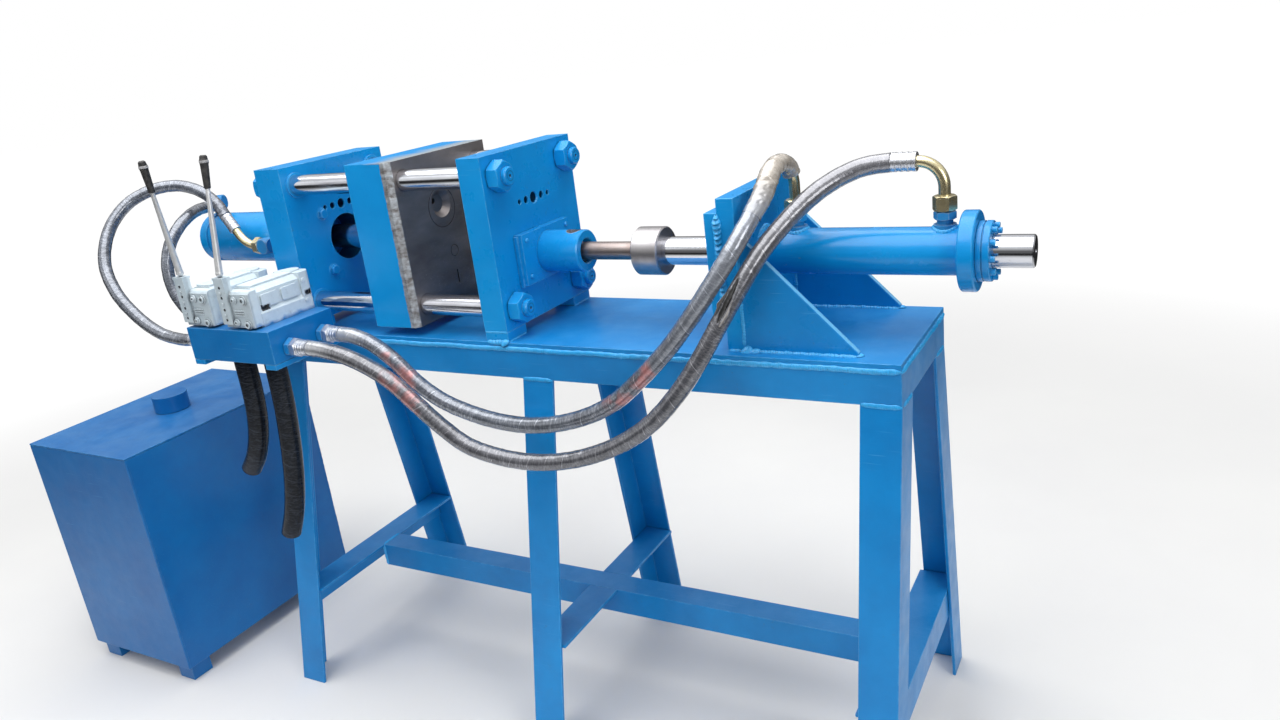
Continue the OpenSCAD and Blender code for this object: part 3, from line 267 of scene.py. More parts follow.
# %% Hose thicknesses and routes, from the table's corner in metres
HOSE_D, CLAMP_HOSE_D, DRAIN_HOSE_D = 0.030, 0.025, 0.040
ROUTES = {
    "front_shot_hose": [
        (-1.053, -0.066, 0.823), (-1.020, -0.066, 0.820), (-0.980, -0.064, 0.806), (-0.935, -0.062, 0.775),
        (-0.890, -0.060, 0.732), (-0.840, -0.058, 0.700), (-0.780, -0.057, 0.680), (-0.715, -0.056, 0.668),
        (-0.650, -0.055, 0.666), (-0.585, -0.053, 0.675), (-0.520, -0.052, 0.696), (-0.465, -0.050, 0.726),
        (-0.415, -0.047, 0.768), (-0.365, -0.044, 0.816), (-0.322, -0.040, 0.866), (-0.285, -0.032, 0.916),
        (-0.258, -0.017, 0.958), (-0.239, 0.005, 0.994), (-0.229, 0.028, 1.018), (-0.220, 0.054, 1.043),
    ],
    "rear_shot_hose": [
        (-1.053, -0.148, 0.823), (-1.015, -0.148, 0.820), (-0.970, -0.148, 0.812), (-0.920, -0.147, 0.795),
        (-0.870, -0.145, 0.768), (-0.825, -0.143, 0.730), (-0.780, -0.140, 0.690), (-0.730, -0.136, 0.655),
        (-0.670, -0.130, 0.637), (-0.610, -0.124, 0.631), (-0.550, -0.117, 0.635), (-0.490, -0.110, 0.650),
        (-0.430, -0.103, 0.676), (-0.375, -0.094, 0.714), (-0.330, -0.080, 0.763), (-0.296, -0.066, 0.812),
        (-0.267, -0.046, 0.864), (-0.240, -0.020, 0.915), (-0.212, 0.014, 0.966), (-0.182, 0.058, 1.006),
        (-0.152, 0.096, 1.036), (-0.118, 0.124, 1.057), (-0.083, 0.141, 1.069), (-0.0425, 0.1475, 1.073),
    ],
    "clamp_front_hose": [
        (-1.460, 0.060, 1.032), (-1.481, 0.060, 1.062), (-1.514, 0.052, 1.090), (-1.556, 0.032, 1.106),
        (-1.599, -0.002, 1.103), (-1.631, -0.046, 1.080), (-1.641, -0.093, 1.035), (-1.623, -0.133, 0.976),
        (-1.581, -0.153, 0.919), (-1.533, -0.153, 0.868), (-1.478, -0.151, 0.835), (-1.424, -0.148, 0.823),
        (-1.384, -0.148, 0.823),
    ],
    "clamp_rear_hose": [
        (-1.556, 0.085, 1.047), (-1.544, 0.059, 1.047), (-1.534, 0.027, 1.041), (-1.529, -0.009, 1.023),
        (-1.529, -0.041, 0.991), (-1.526, -0.062, 0.947), (-1.511, -0.071, 0.897), (-1.481, -0.071, 0.856),
        (-1.442, -0.068, 0.832), (-1.405, -0.066, 0.823), (-1.384, -0.066, 0.823),
    ],
    "left_drain_hose": [
        (-1.240, -0.150, 0.800), (-1.240, -0.150, 0.740), (-1.242, -0.150, 0.700), (-1.248, -0.150, 0.660),
        (-1.260, -0.150, 0.620), (-1.280, -0.150, 0.580), (-1.305, -0.150, 0.548),
    ],
    "right_drain_hose": [
        (-1.155, -0.150, 0.800), (-1.156, -0.150, 0.740), (-1.159, -0.150, 0.690), (-1.165, -0.150, 0.640),
        (-1.174, -0.150, 0.585), (-1.188, -0.150, 0.525), (-1.208, -0.150, 0.465), (-1.234, -0.150, 0.410),
    ],
}
THICKNESS = {
    name: DRAIN_HOSE_D if "drain" in name else CLAMP_HOSE_D if "clamp" in name else HOSE_D for name in ROUTES
}
print(f"{len(ROUTES)} routes")

# %% [markdown]
# The wrapped surface could be a plain tube with a bump, but its outline shows against the light behind it,
# so the step of the film and its creases are in the mesh: the radius is a formula of the distance along
# the hose and of the angle round it. One hose has rubbed on the bracket, and there a slit opens in the
# film.

# %% Wrapped hoses
WRAP_TURN = 0.034
WRAP_STEP = 0.00025
CREASES, CREASE_HEIGHT = 6, 0.00005
AROUND = 44
TEAR_DEPTH, TEAR_HALF_ANGLE, TEAR_TWIST = 0.0034, 0.42, 6
# Where the film is torn: middle and half length of the tear along the hose, and the way it faces
TORN = {"rear_shot_hose": (0.988, 0.038, (-0.09, -0.95, 0.28))}


def wrapped_radius(name, frames, seed):
    """Radius of a wrapped hose: the film rises by its own thickness over each turn, then steps down.

    radius = half the thickness - step + step fraction(s / turn - a / circle) + creases, where the creases
    are a few slanted sine waves. Where the film is torn the hose inside shows, so the radius falls in a
    narrow slit: depth (1 - (angle from the slit / its half width)^2), for s within half the slit's length
    of its middle."""
    rng = np.random.default_rng(seed)
    along, _, side, other = frames
    s = along[:, None]
    a = np.linspace(0, 2 * np.pi, AROUND, endpoint=False)[None, :]
    turn = np.mod(s / WRAP_TURN - a / (2 * np.pi), 1.0)
    edge = np.clip((1.0 - turn) / 0.05, 0, 1)
    radius = THICKNESS[name] / 2 - WRAP_STEP + WRAP_STEP * turn * edge
    for _ in range(CREASES):
        pitch = rng.uniform(0.008, 0.030)
        turns = rng.integers(1, 5)
        radius = radius + CREASE_HEIGHT * np.sin(2 * np.pi * s / pitch + turns * a + rng.uniform(0, 6.28))
    if name in TORN:
        middle, half, facing = TORN[name]
        row = np.argmin(abs(along - middle))
        angle = math.atan2(other[row].dot(facing), side[row].dot(facing))
        inside = np.clip(1 - ((s - middle) / half) ** 2, 0, 1)
        off = np.mod(a - angle - TEAR_TWIST * (s - middle) + np.pi, 2 * np.pi) - np.pi
        slit = np.clip(1 - (off / (TEAR_HALF_ANGLE * np.sqrt(inside) + 0.01)) ** 2, 0, 1)
        radius = radius - TEAR_DEPTH * slit * inside**0.3
    return radius


def make_hose(name, seed):
    """A wrapped pressure hose along its route, with a UV map in metres."""
    path = smooth_path(place(ROUTES[name]), 0.0032)
    frames = path_frames(path)
    along = frames[0]
    radius = wrapped_radius(name, frames, seed)
    points = tube_points(path, radius, AROUND)
    piece = new_piece(f"{name}_wrapped", points.reshape(-1, 3), grid_faces(len(path), AROUND))
    add_uv(piece, len(path), AROUND, along, np.pi * THICKNESS[name])
    if name in TORN:
        depth = np.clip((THICKNESS[name] / 2 - radius) / TEAR_DEPTH, 0, 1)
        torn = np.zeros(len(piece.data.vertices))
        torn[: depth.size] = np.where(depth > 0.3, depth, 0).ravel()
        piece.data.attributes.new("torn", "FLOAT", "POINT").data.foreach_set("value", torn)
    return piece, path, along[-1]


print("wrapped hoses can be made")

# %% [markdown]
# A drain hose ends open, so one can look into it: its wall turns in at the rim and runs back up inside, as
# one closed surface.

# %% Drain hoses, and all hoses in their places
WALL, RIM_SHARE, RIM_RISE, ROWS_INSIDE = 0.0055, 0.65, 0.0008, 24


def make_drain_hose(name):
    """A thick rubber hose whose lower end is open: the wall turns in there and runs back up inside."""
    path = smooth_path(place(ROUTES[name]), 0.005)
    along, tangent = path_frames(path)[:2]
    outside = tube_points(path, DRAIN_HOSE_D / 2, AROUND)
    inside = tube_points(path, DRAIN_HOSE_D / 2 - WALL, AROUND)[-ROWS_INSIDE:][::-1]
    rim = (outside[-1] * (1 - RIM_SHARE) + inside[0] * RIM_SHARE)[None] + RIM_RISE * tangent[-1]
    points = np.vstack([outside, rim, inside])
    piece = new_piece(f"{name}_rubber", points.reshape(-1, 3), grid_faces(len(points), AROUND))
    measured = np.concatenate([along, [along[-1]], along[-ROWS_INSIDE:][::-1]])
    add_uv(piece, len(points), AROUND, measured, np.pi * DRAIN_HOSE_D)
    return piece, path, along[-1]


hoses = {}
for number, hose in enumerate(ROUTES):
    bare = "drain" in hose
    piece, path, length = make_drain_hose(hose) if bare else make_hose(hose, 20 + number)
    hoses[hose] = piece
    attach(piece, "machine")
    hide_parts(hose)
    print(f"{hose}: {length:.3f} m")

# %% [markdown]
# ## Finishes
#
# Every finish is worked out by nodes, with no pictures. `Graph` gives short names for adding nodes and
# joining them, so a material below reads like a recipe. Numbers that are the same all over a surface are
# set straight on the shader; only what varies over the surface goes through nodes.

# %% Short names for nodes
class Graph:
    """Adds nodes to a tree. A value in sockets is a number, a colour or another node's output."""

    def __init__(self, tree):
        self.tree = tree

    def add(self, kind, sockets=None, **settings):
        node = self.tree.nodes.new(kind if kind.startswith("Node") else "ShaderNode" + kind)
        for name, value in settings.items():
            setattr(node, name, value)
        for name, value in (sockets or {}).items():
            if isinstance(value, bpy.types.NodeSocket):
                self.tree.links.new(value, node.inputs[name])
            else:
                node.inputs[name].default_value = value
        return node

    def maths(self, operation, a, b=0.0):
        return self.add("Math", {0: a, 1: b}, operation=operation).outputs[0]

    def ramp(self, value, low, high, to_low=0.0, to_high=1.0):
        """The value's range from low to high, spread from to_low to to_high and held there."""
        ends = {"Value": value, "From Min": low, "From Max": high, "To Min": to_low, "To Max": to_high}
        return self.add("MapRange", ends).outputs["Result"]

    def noise(self, vector, scale, detail=3.0, roughness=0.5):
        sockets = {"Vector": vector, "Scale": scale, "Detail": detail, "Roughness": roughness}
        return self.add("TexNoise", sockets).outputs[0]

    def stretched(self, vector, scale, turn=(0.0, 0.0, 0.0)):
        """The pattern's coordinates turned, then multiplied by scale, so a small scale draws it out."""
        return self.add("Mapping", {"Vector": vector, "Scale": scale, "Rotation": turn}).outputs[0]

    def mixed(self, mask, a, b):
        """Colour a where the mask is 0, and b where it is 1."""
        node = self.add("Mix", data_type="RGBA")
        for socket, value in zip((node.inputs[0], node.inputs[6], node.inputs[7]), (mask, a, b)):
            if isinstance(value, bpy.types.NodeSocket):
                self.tree.links.new(value, socket)
            else:
                socket.default_value = value
        return node.outputs[2]

    def between(self, mask, a, b):
        """Number a where the mask is 0, and b where it is 1."""
        return self.ramp(mask, 0.0, 1.0, a, b)


def new_group(name, inputs, outputs):
    """A shader node group, with its graph, its input node's outputs and its output node's inputs."""
    tree = bpy.data.node_groups.new(name, "ShaderNodeTree")
    for label, value in inputs.items():
        kind = "Vector" if value is None else "Color" if isinstance(value, tuple) else "Float"
        socket = tree.interface.new_socket(name=label, in_out="INPUT", socket_type=f"NodeSocket{kind}")
        if value is not None:
            socket.default_value = value
    for label, kind in outputs.items():
        tree.interface.new_socket(name=label, in_out="OUTPUT", socket_type=f"NodeSocket{kind}")
    graph = Graph(tree)
    return tree, graph, graph.add("NodeGroupInput").outputs, graph.add("NodeGroupOutput").inputs


print("node helpers ready")

# %% [markdown]
# Effects that several finishes share are node groups, built once. Paint wears first along edges: the Bevel
# node's softened normal leaves the true one only near an edge, so the angle between them finds it. Dust
# lies where the surface faces up.

# %% Edge wear and dust
def link(graph, source, target):
    graph.tree.links.new(source, target)


def make_edge_wear():
    """Mask: how far the softened normal turns from the true one, broken up by noise."""
    tree, g, given, out = new_group(
        "edge_wear", {"Vector": None, "Radius": 0.002, "Breakup": 60.0}, {"Mask": "Float"}
    )
    softened = g.add("Bevel", {"Radius": given["Radius"]}, samples=4).outputs[0]
    true = g.add("NewGeometry").outputs["Normal"]
    same = g.add("VectorMath", {0: softened, 1: true}, operation="DOT_PRODUCT").outputs["Value"]
    edge = g.ramp(same, 0.995, 0.90)
    patches = g.ramp(g.noise(given["Vector"], given["Breakup"], 4.0, 0.6), 0.36, 0.58)
    link(g, g.maths("MULTIPLY", edge, patches), out["Mask"])
    return tree


def make_dust():
    """Mask: the upward share of the normal times patchy noise."""
    tree, g, given, out = new_group("settled_dust", {"Vector": None, "Amount": 0.5}, {"Mask": "Float"})
    normal = g.add("NewGeometry").outputs["Normal"]
    up = g.ramp(g.add("SeparateXYZ", {0: normal}).outputs[2], 0.55, 1.0)
    patches = g.ramp(g.noise(given["Vector"], 14.0, 6.0, 0.65), 0.35, 0.75)
    grains = g.ramp(g.noise(given["Vector"], 900.0, 2.0), 0.45, 0.7, 0.5, 1.0)
    mask = g.maths("MULTIPLY", g.maths("MULTIPLY", up, patches), grains)
    link(g, g.maths("MULTIPLY", mask, given["Amount"]), out["Mask"])
    return tree


print("wear and dust ready")

# %% [markdown]
# Scratches, brush marks and a lathe's rings are all lines. Each is noise whose coordinates are multiplied
# by unlike numbers, so that it is drawn out along one direction. Brushed enamel has brush marks both ways
# over a fine orange peel, and turned bars have rings across their length.

# %% Lines: scratches, brush marks and turned rings
def make_scratches():
    """Mask: thin lines in two directions, where a broad noise lets them show."""
    tree, g, given, out = new_group("scratches", {"Vector": None, "Amount": 0.5}, {"Mask": "Float"})
    lines = []
    for turn in ((0.3, 0.5, 0.2), (-0.6, 0.2, 1.1)):
        drawn = g.stretched(given["Vector"], (10.0, 420.0, 420.0), turn)
        lines.append(g.ramp(g.noise(drawn, 1.0, 2.0), 0.70, 0.74))
    patches = g.ramp(g.noise(given["Vector"], 9.0), 0.42, 0.62)
    mask = g.maths("MULTIPLY", g.maths("MAXIMUM", *lines), patches)
    link(g, g.maths("MULTIPLY", mask, given["Amount"]), out["Mask"])
    return tree


def make_brushed_coat():
    """Height of brushed enamel: fine orange peel, drawn out brush marks and slow waves."""
    tree, g, given, out = new_group("brushed_coat", {"Vector": None, "Marks": 0.5}, {"Height": "Float"})
    peel = g.noise(given["Vector"], 420.0, 2.0)
    across = g.noise(g.stretched(given["Vector"], (30.0, 260.0, 260.0)), 1.0, 3.0)
    upright = g.noise(g.stretched(given["Vector"], (260.0, 260.0, 30.0)), 1.0, 3.0)
    waves = g.noise(given["Vector"], 22.0, 2.0)
    marks = g.maths("MULTIPLY", g.maths("ADD", across, upright), given["Marks"])
    link(g, g.maths("ADD", g.maths("ADD", peel, marks), g.maths("MULTIPLY", waves, 3.0)), out["Height"])
    return tree


def make_turned():
    """Height of rings that a lathe tool leaves round the X axis."""
    tree, g, given, out = new_group("turned_rings", {"Vector": None, "Pitch": 900.0}, {"Height": "Float"})
    along = g.add("SeparateXYZ", {0: given["Vector"]}).outputs[0]
    line = g.add("CombineXYZ", {0: g.maths("MULTIPLY", along, given["Pitch"])}).outputs[0]
    link(g, g.noise(line, 1.0, 3.0, 0.6), out["Height"])
    return tree


print("lines ready")

# %% [markdown]
# Paint is never one even colour: it clouds and it chips, and its inner corners get painted shade. The clouds
# are broad noise, the chips are the peaks of a fine one, and the painted shade follows ambient occlusion,
# which tells how much of the space close to a point is filled.

# %% Clouds, specks and painted shade in corners
def make_patchy():
    """Colour: two shades mixed by noise in broad clouds and in fine speckle."""
    tree, g, given, out = new_group(
        "patchy_colour",
        {"Vector": None, "One": (0.5, 0.5, 0.5, 1.0), "Other": (0.6, 0.6, 0.6, 1.0), "Scale": 8.0},
        {"Color": "Color"},
    )
    clouds = g.ramp(g.noise(given["Vector"], given["Scale"], 6.0, 0.6), 0.3, 0.7)
    link(g, g.mixed(clouds, given["One"], given["Other"]), out["Color"])
    return tree


def make_specks():
    """Mask: small sharp spots, such as chips, rust or spatter."""
    inputs = {"Vector": None, "Scale": 150.0, "Amount": 0.5}
    tree, g, given, out = new_group("specks", inputs, {"Mask": "Float"})
    spots = g.ramp(g.noise(given["Vector"], given["Scale"], 5.0, 0.6), 0.64, 0.70)
    patches = g.ramp(g.noise(given["Vector"], 12.0, 3.0), 0.45, 0.65)
    link(g, g.maths("MULTIPLY", g.maths("MULTIPLY", spots, patches), given["Amount"]), out["Mask"])
    return tree


def make_crevice_shade():
    """Mask for painted shade: how much of the space within a few millimetres is filled, where shade falls."""
    tree, g, given, out = new_group("crevice_shade", {"Vector": None, "Distance": 0.005}, {"Mask": "Float"})
    open_share = g.add("AmbientOcclusion", {"Distance": given["Distance"]}, samples=6).outputs["AO"]
    broken = g.ramp(g.noise(given["Vector"], 180.0, 3.0), 0.3, 0.7, 0.75, 1.0)
    link(g, g.maths("MULTIPLY", g.ramp(open_share, 0.80, 0.30), broken), out["Mask"])
    return tree


EFFECTS = {
    "crevice_shade": make_crevice_shade(),
    "edge_wear": make_edge_wear(),
    "dust": make_dust(),
    "scratches": make_scratches(),
    "coat": make_brushed_coat(),
    "patchy": make_patchy(),
    "turned": make_turned(),
    "specks": make_specks(),
}
print(f"{len(EFFECTS)} shared effects")

# %% [markdown]
# A material holds one Principled shader. `Finish` keeps its graph, its coordinates and that shader, and
# places the shared effects in it.

# %% One finish
class Finish(Graph):
    """A new material with one Principled shader, in Object coordinates or along the piece's own UV."""

    def __init__(self, name, **constants):
        self.material = bpy.data.materials.new(name)
        self.material.use_nodes = True
        super().__init__(self.material.node_tree)
        self.shader = self.tree.nodes["Principled BSDF"]
        for socket, value in constants.items():
            self.shader.inputs[socket.replace("_", " ")].default_value = value
        coordinates = self.add("TexCoord").outputs
        self.here = coordinates["Object"]
        self.uv = coordinates["UV"]

    def effect(self, name, **values):
        """Places a shared effect and returns its output."""
        node = self.add("Group")
        node.node_tree = EFFECTS[name]
        link(self, self.here, node.inputs["Vector"])
        for label, value in values.items():
            node.inputs[label].default_value = value
        return node.outputs[0]

    def set(self, socket, value):
        link(self, value, self.shader.inputs[socket])

    def bump(self, height, distance, strength=1.0):
        node = self.add("Bump", {"Height": height, "Distance": distance, "Strength": strength})
        self.set("Normal", node.outputs[0])

    def spot(self, axis, low, high):
        """Mask: 1 past high and 0 before low along one axis of the piece's own coordinates."""
        return self.ramp(self.add("SeparateXYZ", {0: self.here}).outputs[axis], low, high)


print("finish helper ready")

# %% [markdown]
# The machine is painted with one bright blue enamel, put on by brush over welds, bolts and fittings alike.
# It is lighter where it has been rubbed along edges and has grey dust on its upper faces. `blue_enamel` is
# made in a few strengths: glossy on the frame, duller and more worn on what spanners and tools touch.

# %% Blue enamel
def within(f, axis, low, high):
    """Mask: 1 between two values along an axis of the piece's own coordinates."""
    return f.maths("MULTIPLY", f.spot(axis, low, low + 0.0005), f.spot(axis, high, high - 0.0005))


def blue_enamel(
    name, one, other, rubbed, wear=0.5, dirt=0.12, gloss=0.30, marks=0.5, holes=None, mouth=None, slope_highlight=0.0
):
    """Two shades of blue in clouds, then rubbed edges, scratches, chips, dust and painted crevice shade in
    that order.

    The solid box given as holes gets painted shade, near black, where holes run through it, and mouth is the
    (x, y, radius) of a hole in the top that was filed bare. Faces that rise towards +X get a painted
    highlight, by the share called slope_highlight."""
    f = Finish(name, IOR=1.5, Specular_IOR_Level=0.32, Coat_Weight=0.12, Coat_Roughness=0.14)
    colour = f.effect("patchy", One=one, Other=other, Scale=7.0)
    edge = f.maths("MULTIPLY", f.effect("edge_wear", Radius=0.0022, Breakup=55.0), wear)
    colour = f.mixed(edge, colour, rubbed)
    lines = f.effect("scratches", Amount=wear * 0.35)
    colour = f.mixed(lines, colour, rubbed)
    chips = f.effect("specks", Scale=130.0, Amount=wear * 0.5)
    colour = f.mixed(chips, colour, (0.07, 0.075, 0.08, 1.0))
    dust = f.effect("dust", Amount=dirt)
    colour = f.mixed(dust, colour, (0.30, 0.36, 0.40, 1.0))
    # Painted shade: the enamel turns dark blue in corners and crevices, by ambient occlusion.
    crevice_shade_mask = f.maths("MULTIPLY", f.effect("crevice_shade", Distance=0.006), 0.45)
    colour = f.mixed(crevice_shade_mask, colour, (0.004, 0.035, 0.10, 1.0))
    # Painted highlight: faces that rise towards +X, such as the gussets' sloped edges, are mixed to pale
    # blue.
    if slope_highlight:
        turned = f.add("VectorMath", {0: f.add("NewGeometry").outputs["Normal"], 1: (0.7, 0.0, 0.7)})
        turned.operation = "DOT_PRODUCT"
        colour = f.mixed(f.ramp(turned.outputs["Value"], 0.86, 0.94, 0.0, slope_highlight), colour, BLUE_PALE)
    # Painted shade: near black inside the holes that run through the plate.
    if holes:
        inside = f.maths("MULTIPLY", within(f, 0, *holes[0]), within(f, 1, *holes[1]))
        inside = f.maths("MULTIPLY", inside, within(f, 2, *holes[2]))
        colour = f.mixed(f.maths("MULTIPLY", inside, 0.9), colour, (0.004, 0.020, 0.050, 1.0))
    if mouth:
        x, y, _ = f.add("SeparateXYZ", {0: f.here}).outputs
        flat = f.add("CombineXYZ", {0: f.maths("SUBTRACT", x, mouth[0]), 1: f.maths("SUBTRACT", y, mouth[1])})
        away = f.add("VectorMath", {0: flat.outputs[0]}, operation="LENGTH").outputs["Value"]
        bare = f.ramp(away, mouth[2] + 0.0016, mouth[2] + 0.0010)
        colour = f.mixed(bare, colour, (0.66, 0.66, 0.68, 1.0))
        f.set("Metallic", f.maths("MULTIPLY", bare, 0.9))
    f.set("Base Color", colour)
    cloudy = f.ramp(f.noise(f.here, 30.0, 4.0), 0.3, 0.7, gloss, gloss + 0.14)
    f.set("Roughness", f.between(f.maths("MAXIMUM", dust, chips), cloudy, 0.7))
    f.bump(f.effect("coat", Marks=marks), 0.00025, 0.5)
    return f.material


print("enamel recipe ready")

# %% [markdown]
# The blues are given once, from deep to pale. Plates, barrels, gussets, welds, fittings and the tank each
# mix two of them, and differ in how worn, dusty and glossy they are. The welds are a lighter blue, as painted
# highlight, and the valve block and the tank a deeper blue, as painted shade. The two fixed platens have
# painted shade inside their holes, and the sleeve is filed bare round its mouth, so those three also say
# where that is.

# %% The blues
BLUE = (0.0020, 0.240, 0.610, 1.0)
BLUE_BRIGHT = (0.0040, 0.290, 0.690, 1.0)
BLUE_DEEP = (0.0010, 0.170, 0.470, 1.0)
BLUE_PALE = (0.18, 0.52, 0.80, 1.0)
MOUTH_RADIUS = 0.0140
frame_blue = blue_enamel("frame_blue", BLUE_DEEP, BLUE, BLUE_PALE, 0.65, 0.16)
platen_blue = blue_enamel("platen_blue", BLUE, BLUE_BRIGHT, BLUE_PALE, 0.80, 0.12, 0.24, 0.7)
barrel_blue = blue_enamel("barrel_blue", BLUE, BLUE_BRIGHT, BLUE_PALE, 0.5, 0.08, 0.15, 0.3)


def plate_holes(node, from_face=0.003, from_edge=0.006):
    """The solid inside of an upright plate, a little in from its faces and its edges."""
    low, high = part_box(node)
    return [(low[k] + inset, high[k] - inset) for k, inset in enumerate((from_face, from_edge, from_edge))]


# The gussets carry the painted highlight on their sloped edges.
gusset_blue = blue_enamel("gusset_blue", BLUE_DEEP, BLUE, BLUE_PALE, 0.80, 0.12, 0.24, 0.7, slope_highlight=0.75)
shot_plate_blue = blue_enamel(
    "shot_platen", BLUE, BLUE_BRIGHT, BLUE_PALE, 0.80, 0.12, 0.24, 0.7, holes=plate_holes("shot_platen")
)
clamp_plate_blue = blue_enamel(
    "clamp_platen", BLUE, BLUE_BRIGHT, BLUE_PALE, 0.80, 0.12, 0.24, 0.7,
    holes=plate_holes("clamp_platen", 0.008),
)
POUR_X, POUR_Y = place([(-0.631, 0.1475, 0.9)])[0][:2]
sleeve_blue = blue_enamel(
    "shot_sleeve", BLUE, BLUE_BRIGHT, BLUE_PALE, 0.6, 0.1, 0.22, mouth=(POUR_X, POUR_Y, MOUTH_RADIUS)
)
# Painted shade: the block's blue is deeper than the frame's, as for paint in shade.
shaded_block_blue = blue_enamel("shaded_block_blue", (0.0015, 0.130, 0.390, 1.0), BLUE_DEEP, BLUE_PALE, 0.8, 0.20)
fitting_blue = blue_enamel(
    "fitting_blue", (0.04, 0.17, 0.34, 1.0), BLUE, (0.34, 0.38, 0.42, 1.0), 0.8, 0.2, 0.34
)
# Painted highlight: the beads are a lighter blue than the frame, for the light they catch.
highlit_weld_blue = blue_enamel(
    "highlit_weld_blue", (0.006, 0.310, 0.710, 1.0), (0.060, 0.400, 0.780, 1.0), BLUE_PALE, 0.2, 0.05, 0.18, 0.2
)
# Painted shade: the tank's blue is deeper than the frame's, as for paint in shade.
shaded_tank_blue = blue_enamel(
    "shaded_tank_blue", (0.0020, 0.110, 0.350, 1.0), (0.0030, 0.150, 0.430, 1.0), BLUE_PALE, 0.5, 0.25
)
print("blue enamel in eleven strengths")

# %% [markdown]
# ## Bare metals
#
# The bars and the rod are ground and hard chromed: almost a mirror, with thin rings from the grinding and
# a film of oil that clouds the gloss in patches. The ends of the bars beyond their nuts are painted like
# the rest. The plunger rod and the coupling are bare turned steel that heat has browned. The bent tubes
# have a yellow zinc coat, and the crimped ends are bright zinc.

# %% Metals
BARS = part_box("tie_bars")
BAR_RADIUS = 0.020


def from_bar_axis(f):
    """Distance from the nearest bar's axis, from |y - middle| and |z - middle| less half the bars' spread."""
    off = []
    for axis in (1, 2):
        low, high = BARS[0][axis], BARS[1][axis]
        place_on = f.add("SeparateXYZ", {0: f.here}).outputs[axis]
        from_middle = f.maths("ABSOLUTE", f.maths("SUBTRACT", place_on, (low + high) / 2))
        off.append(f.maths("SUBTRACT", from_middle, (high - low) / 2 - BAR_RADIUS))
    flat = f.add("CombineXYZ", {1: off[0], 2: off[1]}).outputs[0]
    return f.add("VectorMath", {0: flat}, operation="LENGTH").outputs["Value"]


def ground_chrome(name, painted=None):
    """Chrome with oil smears and a few brown specks. Past the two X values in painted it is blue enamel, with
    the painted shade of a centre hole and a ring groove on each stud end.
    """
    f = Finish(name)
    smear = f.ramp(f.noise(f.stretched(f.here, (6.0, 22.0, 22.0)), 1.0, 5.0, 0.6), 0.42, 0.72)
    colour = f.mixed(smear, (0.70, 0.72, 0.76, 1.0), (0.50, 0.51, 0.56, 1.0))
    spots = f.effect("specks", Scale=260.0, Amount=0.5)
    colour = f.mixed(spots, colour, (0.20, 0.16, 0.13, 1.0))
    rough = f.between(f.maths("MAXIMUM", smear, spots), 0.10, 0.22)
    if painted:
        low, high = painted
        paint = f.maths("MAXIMUM", f.spot(0, high, high + 0.0004), f.spot(0, low, low - 0.0004))
        enamel = f.effect("patchy", One=BLUE, Other=BLUE_BRIGHT, Scale=40.0)
        # Painted shade: a dark centre hole and a dark ring groove on each stud end, which the mesh doesn't
        # have.
        centre_hole_shade = f.ramp(from_bar_axis(f), 0.0030, 0.0024)
        groove_shade = f.ramp(f.maths("ABSOLUTE", f.maths("SUBTRACT", from_bar_axis(f), 0.0085)), 0.0010, 0.0005)
        marks = f.maths("MAXIMUM", centre_hole_shade, f.maths("MULTIPLY", groove_shade, 0.6))
        colour = f.mixed(paint, colour, f.mixed(marks, enamel, (0.002, 0.018, 0.055, 1.0)))
        rough = f.between(paint, rough, 0.3)
        f.set("Metallic", f.maths("SUBTRACT", 1.0, paint))
    else:
        f.shader.inputs["Metallic"].default_value = 1.0
    f.set("Base Color", colour)
    f.set("Roughness", rough)
    f.bump(f.effect("turned", Pitch=700.0), 0.00004, 0.3)
    return f.material


print("chrome recipe ready")

# %% [markdown]
# Steel that runs hot turns straw and brown, in streaks along the bar. Zinc plate is duller than chrome,
# with small clouds, and both wear bright along their edges, so the shared edge wear lightens them there.

# %% Browned steel and zinc plate
def browned_steel(name, bare, brown, rings):
    """Turned steel that heat has browned in streaks, brighter along rubbed edges."""
    f = Finish(name, Metallic=1.0)
    heat = f.ramp(f.noise(f.stretched(f.here, (9.0, 4.0, 4.0)), 1.0, 6.0, 0.62), 0.36, 0.66)
    colour = f.mixed(heat, bare, brown)
    worn = f.effect("edge_wear", Radius=0.0015, Breakup=40.0)
    colour = f.mixed(worn, colour, (0.62, 0.60, 0.58, 1.0))
    f.set("Base Color", colour)
    f.set("Roughness", f.between(heat, 0.30, 0.48))
    f.bump(f.effect("turned", Pitch=rings), 0.00012, 0.5)
    return f.material


def zinc_plate(name, one, other, rough, grey=0.9):
    """Two shades of plating in small clouds, with dark grime and edges worn bright."""
    f = Finish(name, Metallic=grey)
    fine = 0.15 if rough > 0.30 else 0.35
    colour = f.effect("patchy", One=one, Other=other, Scale=45.0)
    grime = f.effect("specks", Scale=110.0, Amount=0.35)
    colour = f.mixed(grime, colour, (0.10, 0.09, 0.08, 1.0))
    worn = f.effect("edge_wear", Radius=0.0012, Breakup=70.0)
    f.set("Base Color", f.mixed(worn, colour, (0.80, 0.79, 0.76, 1.0)))
    f.set("Roughness", f.between(grime, rough, 0.6))
    f.bump(f.noise(f.here, 300.0, 3.0), 0.00012, fine)
    return f.material


